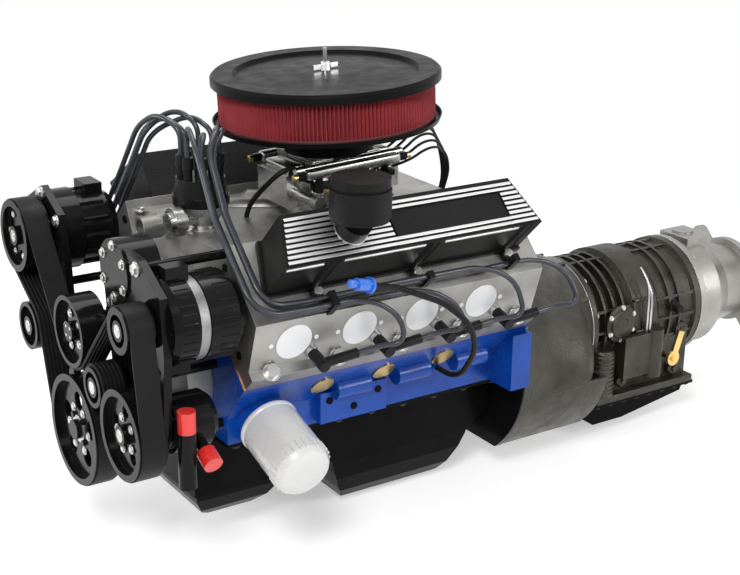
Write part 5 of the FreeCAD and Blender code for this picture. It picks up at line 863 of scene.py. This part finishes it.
@dataclass
class BeltDrive:
    """The multi-rib belt and the hardware on the faces of the pulleys."""

    thickness: float = 4.4
    web: float = 2.2
    groove: float = 2.0
    tip: float = 0.15
    ribs: int = 6
    width: float = 35.6
    start: float = -699.0
    gap: float = 0.3
    hub: float = -700.6

    def run(self) -> list[tuple[float, float, float, float]]:
        """Points of the inner face of the belt with its outward direction.

        Returns:
            y, z, and the two parts of the outward normal, in millimetres.
        """
        wheels = []
        for wheel in WHEELS.values():
            backing = self.thickness + 0.2 if wheel.side < 0 else 0.0
            wheels.append((wheel.y, wheel.z, wheel.radius + self.gap + backing, wheel.side))
        count = len(wheels)
        courses = []
        for index in range(count):
            y0, z0, r0, s0 = wheels[index]
            y1, z1, r1, s1 = wheels[(index + 1) % count]
            reach = math.hypot(y1 - y0, z1 - z0)
            courses.append(math.atan2(z1 - z0, y1 - y0) - math.asin((s1 * r1 - s0 * r0) / reach))
        points = []
        for index in range(count):
            y, z, radius, side = wheels[(index + 1) % count]
            first, second = courses[index], courses[(index + 1) % count]
            sweep = (second - first) % math.tau if side > 0 else -((first - second) % math.tau)
            steps = max(6, int(abs(sweep) / math.radians(5.0)))
            for step in range(steps + 1):
                course = first + sweep * step / steps
                out = (math.sin(course), -math.cos(course))
                points.append((y + side * radius * out[0], z + side * radius * out[1], *out))
        return points

    def section(self) -> list[tuple[float, float]]:
        """Section of the belt: across its width, and outward from its inner face."""
        pitch = self.width / self.ribs
        corners = [(0.0, self.thickness), (0.0, self.web)]
        for rib in range(self.ribs):
            corners += [(pitch * (rib + 0.22), self.tip), (pitch * (rib + 0.72), self.tip)]
            if rib < self.ribs - 1:
                corners.append((pitch * (rib + 0.97), self.groove))
        return corners + [(self.width, self.web), (self.width, self.thickness)]

    def build(self) -> None:
        """Sweeps the ribbed section along the run."""
        points, section = self.run(), self.section()
        work = bmesh.new()
        rows = [[work.verts.new(at(self.start + across, y + out_y * rise, z + out_z * rise))
                 for across, rise in section] for y, z, out_y, out_z in points]
        bridge(work, rows + rows[:1])
        bmesh.ops.remove_doubles(work, verts=work.verts, dist=1e-6)
        belt = link("ribbed_belt", solid(work, "ribbed_belt"), Coats.BELT)
        settle(belt, "engine", "belt_rubber", "serpentine_belt")

    def bolts(self, hardware: HardwareTree) -> None:
        """Puts the fasteners on the pulleys, each group on its own body."""
        for body, x, radius, count, size in (
                ("crank", -691.8, 34.0, 6, 0.75), ("steering_wheel_pulley", -693.0, 25.0, 5, 0.75),
                ("pump_wheel", -693.0, 26.0, 5, 0.7), ("cooling_wheel", -693.0, 34.0, 6, 0.6)):
            wheel = WHEELS[body]
            buttons = circle(count, (x, wheel.y, wheel.z), radius, FRONT, 0.0, size)
            hardware.drive(f"{body}_buttons", buttons, Coats.BOLT, Head(6.5, 4.0, 16, 9.0), body)
        for body in ("steering_wheel_pulley", "alternator_wheel", "cooling_wheel", "pump_wheel",
                     "idler_wheel", "tensioner_wheel"):
            wheel, four = WHEELS[body], body == "pump_wheel"
            count, radius, size = (4, 9.5, 0.55) if four else (1, 0.0, 1.0)
            studs = circle(count, (self.hub, wheel.y, wheel.z), radius, FRONT, 45.0, size)
            hardware.drive(f"{body}_bolts", studs, Coats.BOLT, Head(6.4, 2.4, 6, 9.5), body)


@dataclass
class OilFilter:
    """The spin-on filter, with its rolled seam, fluted end and dome."""

    foot: Point = (-468.0, -170.0, 22.0)
    slope: float = 108.0
    radius: float = 46.2
    flutes_at: float = 98.5

    def build(self, rings: RadialTree) -> None:
        """Makes the filter that stands for the plain one."""
        lean = math.radians(self.slope)
        where = pointing(at(*self.foot), Vector((0.0, -math.sin(lean), math.cos(lean))))
        r = self.radius
        wall = ((-5.0, 3.0), (-1.4, 3.6), (0.0, 5.4), (0.3, 8.0), (-0.4, 10.6), (-1.6, 12.0), (-1.4, 14.0),
                (-1.2, 88.0), (-1.6, 104.0), (-3.4, 111.0), (-7.5, 116.4), (-15.0, 119.6), (-26.0, 121.2),
                (-38.0, 121.6))
        shell = lathe([(0.0, 3.0), *((r + out, rise) for out, rise in wall), (0.0, 121.6)], where, 96)
        seal = lathe([(0.0, 0.0), (r - 9, 0.0), (r - 7, 1.2), (r - 7, 3.2), (0.0, 3.2)], where, 64)
        fluted = where @ Matrix.Translation((0.0, 0.0, self.flutes_at / MM))
        flutes = rings.grow("flutes", fluted, 28, r - 1.7, 17.0, 1.7, 2.3, Coats.WHITE, 8)
        pieces = [link("shell", shell, Coats.WHITE), link("seal", seal, Coats.BOOT), flutes]
        settle(join("filter_canister", pieces), "engine", "filter_white", "oil_filter")


class Accessories:
    """Vents, laminations and fins of the belt-driven units."""

    @staticmethod
    def axle(x: float, body: str) -> Matrix:
        """Axis along the crank through the centre of a wheel."""
        return pointing(at(x, WHEELS[body].y, WHEELS[body].z), AFT)

    def ring(self, rings: RadialTree, body: str, name: str, x: float, *sizes: float) -> Piece:
        """A ring of bars round the axis of a wheel."""
        return rings.grow(name, self.axle(x, body), *sizes, Coats.GLOSS)

    def build(self, rings: RadialTree) -> None:
        """Makes the vents and fins of the alternator and of the compressor."""
        pieces = [self.ring(rings, "alternator_wheel", *sizes) for sizes in (
            ("front_vents", -621.0, 30, 61.0, 22.0, 2.6, 2.0),
            ("rear_vents", -561.0, 30, 61.0, 26.0, 2.6, 2.0),
            ("face_vents", -644.5, 12, 42.0, 3.0, 12.0, 3.6))]
        band = [(57.0, 0.0), (60.3, 0.0), (60.3, 14.0), (57.0, 14.0)]
        stator = lathe(band, self.axle(-605.0, "alternator_wheel"), 96)
        pieces.append(link("stator", stator, Coats.LAMINATION))
        settle(join("alternator_vents", pieces), "engine", "gloss_black")
        ribs = [self.ring(rings, "cooling_wheel", *sizes) for sizes in (
            ("barrel_ribs", -596.0, 14, 58.5, 58.0, 3.0, 3.2),
            ("rear_ribs", -549.5, 10, 34.0, 4.0, 14.0, 2.6))]
        settle(join("compressor_ribs", ribs), "engine", "gloss_black")


@dataclass
class ThrottleUnit:
    """Fuel rails, injectors, sensor boxes and linkage round the throttle body."""

    rails: tuple[float, float] = (-69.0, 69.0)
    rail_height: float = 62.0
    reach: float = 84.0

    def build(self) -> None:
        """Makes the fittings on the throttle body."""
        box = AirCleaner.frame()
        pieces = []
        for y in self.rails:
            z, reach = self.rail_height, self.reach
            low, high = (-reach, y - 9.0, z - 8.0), (reach, y + 9.0, z + 8.0)
            pieces.append(block(box, low, high, Coats.MACHINED, 4.0))
            for way in (FRONT, AFT):
                end = reach * way.x
                pieces += [rod(box, (end, y, z), way, 14.0, 7.0, Coats.CAP, 1.0, 6),
                           rod(box, (end + way.x * 14.0, y, z), way, 8.0, 5.0, Coats.BRASS, 1.0)]
            inner, outer = (4.0, 18.0) if y > 0 else (-18.0, -4.0)
            for x in (-60.0, -22.0, 22.0, 60.0):
                low, high = (x - 6.0, y + inner, 40.0), (x + 6.0, y + outer, 50.0)
                pieces += [rod(box, (x, y * 0.97, 30.0), UP, 26.0, 6.2, Coats.BOOT),
                           rod(box, (x, y * 0.97, 26.0), UP, 5.0, 8.0, Coats.MACHINED),
                           block(box, low, high, Coats.BOOT, 1.5)]
        for x in (-32.0, 32.0):
            pieces += [rod(box, (x, -89.0, 22.0), LEFT, 10.0, 13.0, Coats.MACHINED),
                       block(box, (x - 14.0, 84.0, 8.0), (x + 14.0, 98.0, 38.0), Coats.BOOT, 3.0)]
        for x in (-96.0, 62.0):
            pieces.append(block(box, (x, -34.0, 56.0), (x + 30.0, 34.0, 70.0), Coats.MACHINED, 4.0))
        for y in (-63.0, 63.0):
            pieces.append(block(box, (-78.0, y - 3.0, -1.0), (78.0, y + 3.0, 5.0), Coats.ALUMINIUM, 1.5))
        settle(join("throttle_fittings", pieces), "engine", "bright_aluminium")


@dataclass
class ManifoldRunners:
    """Eight raised runners from the carburettor pad to the heads, and the bolts along both flanges."""

    radius: float = 19.0
    height: float = 274.0
    gather: float = 0.34
    ends: tuple[float, ...] = (-436.0, -325.0, -190.0, -79.0)

    def build(self, hardware: HardwareTree) -> None:
        """Makes the runners and their bolts."""
        pieces, studs = [], []
        for side in Side:
            for x in self.ends:
                near = CARBURETTOR_X + (x - CARBURETTOR_X) * self.gather
                start = at(near, side.value * 46.0, self.height)
                end = at(x + side.shift, side.value * 122.0, self.height)
                length, r = (end - start).length * MM, self.radius
                profile = [(0.0, 0.0), (r * 0.7, 0.5), (r, r * 0.5), (r, length - r * 0.5),
                           (r * 0.7, length - 0.5), (0.0, length)]
                runner = lathe(profile, pointing(start, end - start), 40)
                pieces.append(link("runner", runner, Coats.ALUMINIUM))
            for x in (-500.0, -382.0, -258.0, -135.0, -28.0):
                studs.append(Stud(at(x + side.shift, side.value * 127.0, 280.4), UP))
        settle(join("manifold_runners", pieces), "engine", "bright_aluminium")
        hardware.drive("manifold_bolts", studs, Coats.BOLT, Head(7.0, 6.0, 6, 10.0))


@dataclass
class CoverTrim:
    """Polished strips of the left valve cover: below the bare plate, and along the outer edge."""

    lines: tuple[float, ...] = (-24.65, -32.85)
    front: float = -303.0
    rear: float = -95.0
    top: float = 397.55
    half: float = 2.3
    edge: tuple[tuple[float, float], ...] = ((-488.0, -428.0), (-394.0, -255.0), (-221.0, -84.0))

    def build(self) -> None:
        """Makes the strips."""
        tilt = ENGINE @ Matrix.Rotation(math.radians(45.0), 4, "X")
        strips = [block(tilt, (self.front, -u - self.half, 394.8), (self.rear, -u + self.half, self.top),
                        Coats.POLISH, 0.5) for u in self.lines]
        for start, end in self.edge:
            strips.append(block(tilt, (start, 16.8, 386.0), (end, 19.6, 391.0), Coats.POLISH, 0.8))
        settle(join("cover_strips", strips), "engine", "bright_aluminium")


@dataclass
class BellShoulders:
    """The swollen sides that close the bellhousing between its cone and its square skirt."""

    mouth_at: float = 3.0
    mouth: float = 197.0
    length: float = 222.0
    taper: float = 85.0
    front: float = 3.5
    rear: float = 191.0
    skirt: float = 196.4
    fade: float = 46.0
    overlap: float = 4.0
    proud: float = 0.2
    first: float = -13.5
    last: float = 44.0
    steps: int = 18
    stations: int = 24

    def cone(self, x: float) -> float:
        """Radius of the bell at a place along the crank."""
        return self.mouth - self.taper * (x - self.mouth_at) / self.length

    def section(self, x: float) -> list[tuple[float, float]]:
        """Closed section at a place along the crank, as y and z of the right side."""
        inside = self.cone(x)
        ease = min(1.0, (self.rear + self.overlap - x) / self.fade) ** 0.5
        outside = inside + (self.skirt - inside) * ease
        outer, inner = [], []
        for step in range(self.steps + 1):
            share = step / self.steps
            turn = math.radians(self.first + (self.last - self.first) * share)
            swell = (outside - inside) * (1.0 - share * share * (3.0 - 2.0 * share))
            for line, radius in ((outer, inside + swell + self.proud), (inner, inside - self.overlap)):
                line.append((radius * math.cos(turn), radius * math.sin(turn)))
        return outer + inner[::-1]

    def build(self) -> None:
        """Makes both shoulders as one piece."""
        work = bmesh.new()
        places = [self.front + (self.rear - self.front) * step / self.stations
                  for step in range(self.stations + 1)]
        for side in Side:
            rows = [[work.verts.new(at(x, side.value * y, z)) for y, z in self.section(x)] for x in places]
            bridge(work, rows)
            work.faces.new(rows[0])
            work.faces.new(rows[-1])
        shoulders = link("bell_shoulders", solid(work, "bell_shoulders", sharp=40.0), Coats.CASE)
        settle(shoulders, "engine", "trans_grey")


@dataclass
class Harness:
    """Thin wires of the throttle body that loop behind it to the back of the manifold."""

    radius: float = 2.2

    def build(self) -> None:
        """Makes the wires and the fuel line."""
        loops = []
        for number in range(5):
            lift, spread = 6.0 * number, 9.0 * number
            path = [(-166.0, -44.0 + spread * 1.6, 345.0), (-140.0, -52.0 + spread, 352.0 + lift),
                    (-104.0, -46.0 + spread * 1.4, 366.0 + lift * 1.3),
                    (-66.0, -30.0 + spread, 362.0 + lift * 1.6), (-34.0, -8.0 + spread * 0.8, 340.0 + lift),
                    (-22.0, 0.0 + spread * 0.5, 312.0), (-26.0, 4.0 + spread * 0.3, 284.0),
                    (-30.0, 6.0 + spread * 0.3, 272.0)]
            loops.append(tube(f"wire_{number}", path, self.radius, Coats.BOOT))
        line = [(-356.0, -62.0, 372.0), (-376.0, -60.0, 368.0), (-392.0, -48.0, 350.0),
                (-396.0, -26.0, 330.0), (-398.0, 0.0, 306.0), (-400.0, 10.0, 284.0), (-400.0, 12.0, 274.0)]
        loops.append(tube("fuel_line", line, 4.0, Coats.BOOT))
        settle(join("throttle_harness", loops), "engine", "boot_black")


class Fasteners:
    """Bolts on the castings, and near-black discs as painted shade in their threaded holes."""

    @staticmethod
    def flanges(count: int, y: float, start: float, end: float, z: float) -> list[Stud]:
        """Bolts under both side flanges, spread evenly along the crank, heads down."""
        return [Stud(at(start + (end - start) * step / (count - 1), side * y, z), DOWN)
                for side in (-1.0, 1.0) for step in range(count)]

    def build(self, hardware: HardwareTree) -> None:
        """Places every group of fasteners on the castings."""
        pan = self.flanges(9, 140.0, -505.0, -24.0, -16.0)
        hardware.drive("pan_bolts", pan, Coats.DARK_BOLT, Head(5.5, 5.0, 6, 8.0))
        tray = [*self.flanges(8, 114.0, 242.0, 462.0, -137.0), Stud(at(236.0, 0.0, -137.0), DOWN)]
        hardware.drive("tray_bolts", tray, Coats.DARK_BOLT, Head(4.6, 4.0, 6, 7.0))
        bell = circle(5, (25.0, 0.0, 0.0), 183.0, AFT, 0.0, 1.0, 200.0)
        bell += circle(10, (237.0, 0.0, 0.0), 103.5, AFT, 18.0, 0.85)
        bell += circle(10, (504.0, 0.0, 0.0), 106.0, AFT, 18.0, 0.72)
        hardware.drive("case_bolts", bell, Coats.BOLT, Head(7.5, 6.0, 6, 7.6))
        plates = [Stud(at(-655.0, y, z), FRONT, size) for y, z, size in (
            (-143.0, 285.0, 1.0), (-130.0, 20.0, 1.0), (-196.0, 150.0, 0.8), (-52.0, 210.0, 0.8),
            (200.0, 310.0, 1.0), (130.0, 20.0, 1.0), (244.0, 282.0, 0.9), (142.0, 280.0, 0.9),
            (200.0, 165.0, 0.9))]
        plates += circle(6, (-658.0, -72.0, 262.0), 38.0, FRONT, 30.0, 0.7)
        hardware.drive("bracket_bolts", plates, Coats.BOLT, Head(8.0, 6.5, 6, 11.0))
        # Threaded holes drawn as thin near-black discs: painted shade of the holes
        holes = [Stud(side.place(x + side.shift, u, v), way) for side in Side
                 for u, v in ((28.0, 232.0), (-30.0, 236.0), (-30.0, 288.0), (-84.0, 290.0))
                 for x, way in ((-520.0, FRONT), (-8.0, AFT))]
        holes += [Stud(at(x, side.value * 165.2, z), LEFT * -side.value, 0.9) for side in Side
                  for x, z in ((-356.0, 30.0), (-312.0, 12.0), (-268.0, 30.0))]
        hardware.drive("painted_hole_shades", holes, Coats.HOLE_SHADE, Head(6.5, 0.5, 20, 6.0), slot="gloss_black")


@dataclass
class CaseDress:
    """Covers, connector and vent pipe on the transmission's side."""

    centre: Point = (286.0, -112.0, 14.0)

    def build(self, hardware: HardwareTree) -> None:
        """Makes the side cover, the solenoid and the seams of the case."""
        where = pointing(at(*self.centre), LEFT)
        disc = [(0.0, 0.0), (34.0, 0.0), (34.0, 4.0), (31.0, 6.0), (27.0, 6.4), (25.0, 10.0), (12.0, 11.0),
                (10.0, 9.0), (0.0, 9.0)]
        cover = lathe(disc, where, 64)
        stem = [(0.0, 0.0), (11.0, 0.0), (11.0, 8.0), (8.0, 9.0), (8.0, 22.0), (6.0, 24.0), (0.0, 24.0)]
        plug = lathe(stem, pointing(at(420.0, -104.0, 20.0), LEFT), 32)
        pieces = [link("side_cover", cover, Coats.CASE), link("connector", plug, Coats.BOOT)]
        for x, z, radius in ((262.0, -96.0, 15.0), (304.0, -102.0, 12.0), (322.0, -70.0, 17.0),
                             (446.0, -30.0, 15.0), (250.0, -46.0, 13.0), (432.0, -104.0, 13.0)):
            pieces += [rod(ENGINE, (x, -98.0, z), LEFT, 14.0, radius, Coats.CASE, 3.0),
                       rod(ENGINE, (x, -111.0, z), LEFT, 5.0, radius * 0.5, Coats.CASE, 1.5, 6)]
        servo = [(0.0, 0.0), (24.0, 0.0), (24.0, 6.0)]
        for ring in range(9):
            base = 8.0 + 8.0 * ring
            servo += [(22.0, base), (24.0, base + 1.5), (24.0, base + 4.5), (22.0, base + 6.0)]
        servo += [(22.0, 82.0), (19.0, 86.0), (0.0, 86.0)]
        pieces.append(link("servo", lathe(servo, pointing(at(256.0, -104.0, -118.0), UP), 48), Coats.CASE))
        for x, low, high in ((341.0, -30.0, 96.0), (349.0, -44.0, 82.0)):
            path = [(x, -96.0, high + 8.0), (x, -108.0, high), (x + 2.0, -121.0, high - 24.0),
                    (x - 3.0, -126.0, (low + high) / 2.0), (x, -124.0, low + 18.0), (x + 8.0, -112.0, low),
                    (x + 14.0, -98.0, low - 6.0)]
            pieces.append(tube("vent_pipe", path, 2.6, Coats.STEEL))
        for turn in (-24.0, 4.0, 30.0):
            slope = ENGINE @ Matrix.Rotation(math.radians(turn), 4, "X")
            pieces.append(block(slope, (320.0, -121.0, -3.0), (382.0, -110.0, 3.0), Coats.CASE, 2.0))
        for x in (224.0, 489.6):
            band = [(109.0, 0.0), (113.0, 0.0), (113.0, 1.4), (109.0, 1.4)]
            pieces.append(link("seam", lathe(band, pointing(at(x, 0.0, 0.0), AFT), 96), Coats.MACHINED))
        settle(join("case_fittings", pieces), "engine", "trans_grey")
        x, y, z = self.centre
        turns = [math.tau * (step + 0.5) / 6 for step in range(6)]
        studs = [Stud(at(x + 30.0 * math.cos(turn), y - 4.0, z + 30.0 * math.sin(turn)), LEFT)
                 for turn in turns]
        hardware.drive("side_cover_bolts", studs, Coats.BOLT, Head(4.2, 4.0, 6, 5.2))


@dataclass
class Studio:
    """Camera at the photograph's angle, soft lamps and a pale floor."""

    azimuth: float = -33.747
    elevation: float = 19.218
    roll: float = 0.979
    focal: float = 1455.78
    width: int = 740
    place: Point = (-2.10896, -1.88343, 0.91968)
    world_light: float = 0.34
    disc: float = 1.9
    gap: float = 0.0005
    lift: float = 0.42
    corners: int = 96
    lamps: tuple[tuple[str, Point, float, float], ...] = (
        ("key", (-2.7, -2.0, 2.3), 0.9, 60.0), ("left", (0.9, -2.7, 1.3), 1.0, 40.0),
        ("front", (-3.2, 0.9, 0.9), 0.8, 22.0), ("top", (-0.7, 0.5, 2.7), 1.4, 34.0))

    def camera(self) -> None:
        """Makes the camera."""
        turn, tilt, roll = (math.radians(value) for value in (self.azimuth, self.elevation, self.roll))
        back = Vector((math.sin(turn) * math.cos(tilt), -math.cos(turn) * math.cos(tilt), math.sin(tilt)))
        right = (-back).cross(UP).normalized()
        up = right.cross(-back)
        across = right * math.cos(roll) + up * math.sin(roll)
        rise = -right * math.sin(roll) + up * math.cos(roll)
        data = bpy.data.cameras.new("camera")
        data.sensor_fit = "HORIZONTAL"
        data.sensor_width = 36.0
        data.lens = self.focal / self.width * 36.0
        data.clip_start, data.clip_end = 0.05, 60.0
        camera = add("camera", data)
        turned = Matrix((across, rise, back)).transposed().to_4x4()
        camera.matrix_world = Matrix.Translation(self.place) @ turned
        bpy.context.scene.camera = camera

    @staticmethod
    def lamp(name: str, place: Point, size: float, power: float, aim: Point = (-0.85, 0.0, 0.05)) -> None:
        """Adds a soft square lamp that looks at the engine."""
        data = bpy.data.lights.new(name, "AREA")
        data.size = size
        data.energy = power
        add(name, data).matrix_world = pointing(Vector(place), Vector(place) - Vector(aim))

    def surroundings(self) -> None:
        """White surroundings for the camera and in reflections, gentler ones for light."""
        world = bpy.data.worlds.new("studio")
        bpy.context.scene.world = world
        world.use_nodes = True
        wires = Nodes(world.node_tree)
        wires.tree.nodes.clear()
        seen = wires.looked_at()
        level = wires.node("ShaderNodeMapRange", Value=seen, To_Min=self.world_light, To_Max=1.0)
        glow = wires.node("ShaderNodeBackground", Color=(1.0, 1.0, 1.0, 1.0), Strength=level.outputs[0])
        wires.node("ShaderNodeOutputWorld", Surface=glow.outputs[0])

    def floor(self) -> None:
        """A white paper disc just under the pan that keeps the shadow and fades into the backdrop."""
        low = CAD_BOX[0][2] - self.gap
        middle = (CAD_BOX[0] + CAD_BOX[1]) / 2.0
        turns = [math.tau * step / self.corners for step in range(self.corners)]
        rim = [(middle.x + self.disc * math.cos(turn), middle.y + self.disc * math.sin(turn), low)
               for turn in turns]
        mesh = bpy.data.meshes.new("floor")
        mesh.from_pydata(rim, [], [tuple(range(self.corners))])
        made = bpy.data.materials.new("floor_paper")
        wires = Wiring(made)
        wires.tree.nodes.remove(wires.coords.node)
        paper = wires.node("ShaderNodeBsdfPrincipled", Base_Color=(0.92, 0.92, 0.92, 1.0), Roughness=0.95,
                           Specular_IOR_Level=0.1).outputs[0]
        lift = wires.node("ShaderNodeEmission", Strength=self.lift)
        lifted = wires.node("ShaderNodeAddShader", i0=paper, i1=lift.outputs[0])
        whole = wires.node("ShaderNodeMixShader", i0=wires.looked_at(), i1=paper, i2=lifted.outputs[0])
        wires.plug(wires.output, whole.outputs[0])
        mesh.materials.append(made)
        add("floor", mesh)

    def build(self) -> None:
        """Sets the whole studio."""
        self.camera()
        self.surroundings()
        self.floor()
        for name, place, size, power in self.lamps:
            self.lamp(name, place, size, power)
        bpy.context.scene.view_settings.view_transform = "Standard"


def main() -> None:
    """Builds the dressed engine."""
    logging.basicConfig(level=logging.INFO, format="%(message)s")
    Studio().build()
    paint_nodes()
    hardware, rings = HardwareTree(), RadialTree()
    AirCleaner().build(rings)
    drive = BeltDrive()
    drive.build()
    drive.bolts(hardware)
    OilFilter().build(rings)
    Accessories().build(rings)
    ThrottleUnit().build()
    Harness().build()
    CoverTrim().build()
    BellShoulders().build()
    ManifoldRunners().build(hardware)
    Fasteners().build(hardware)
    CaseDress().build(hardware)


if __name__ == "__main__":
    main()
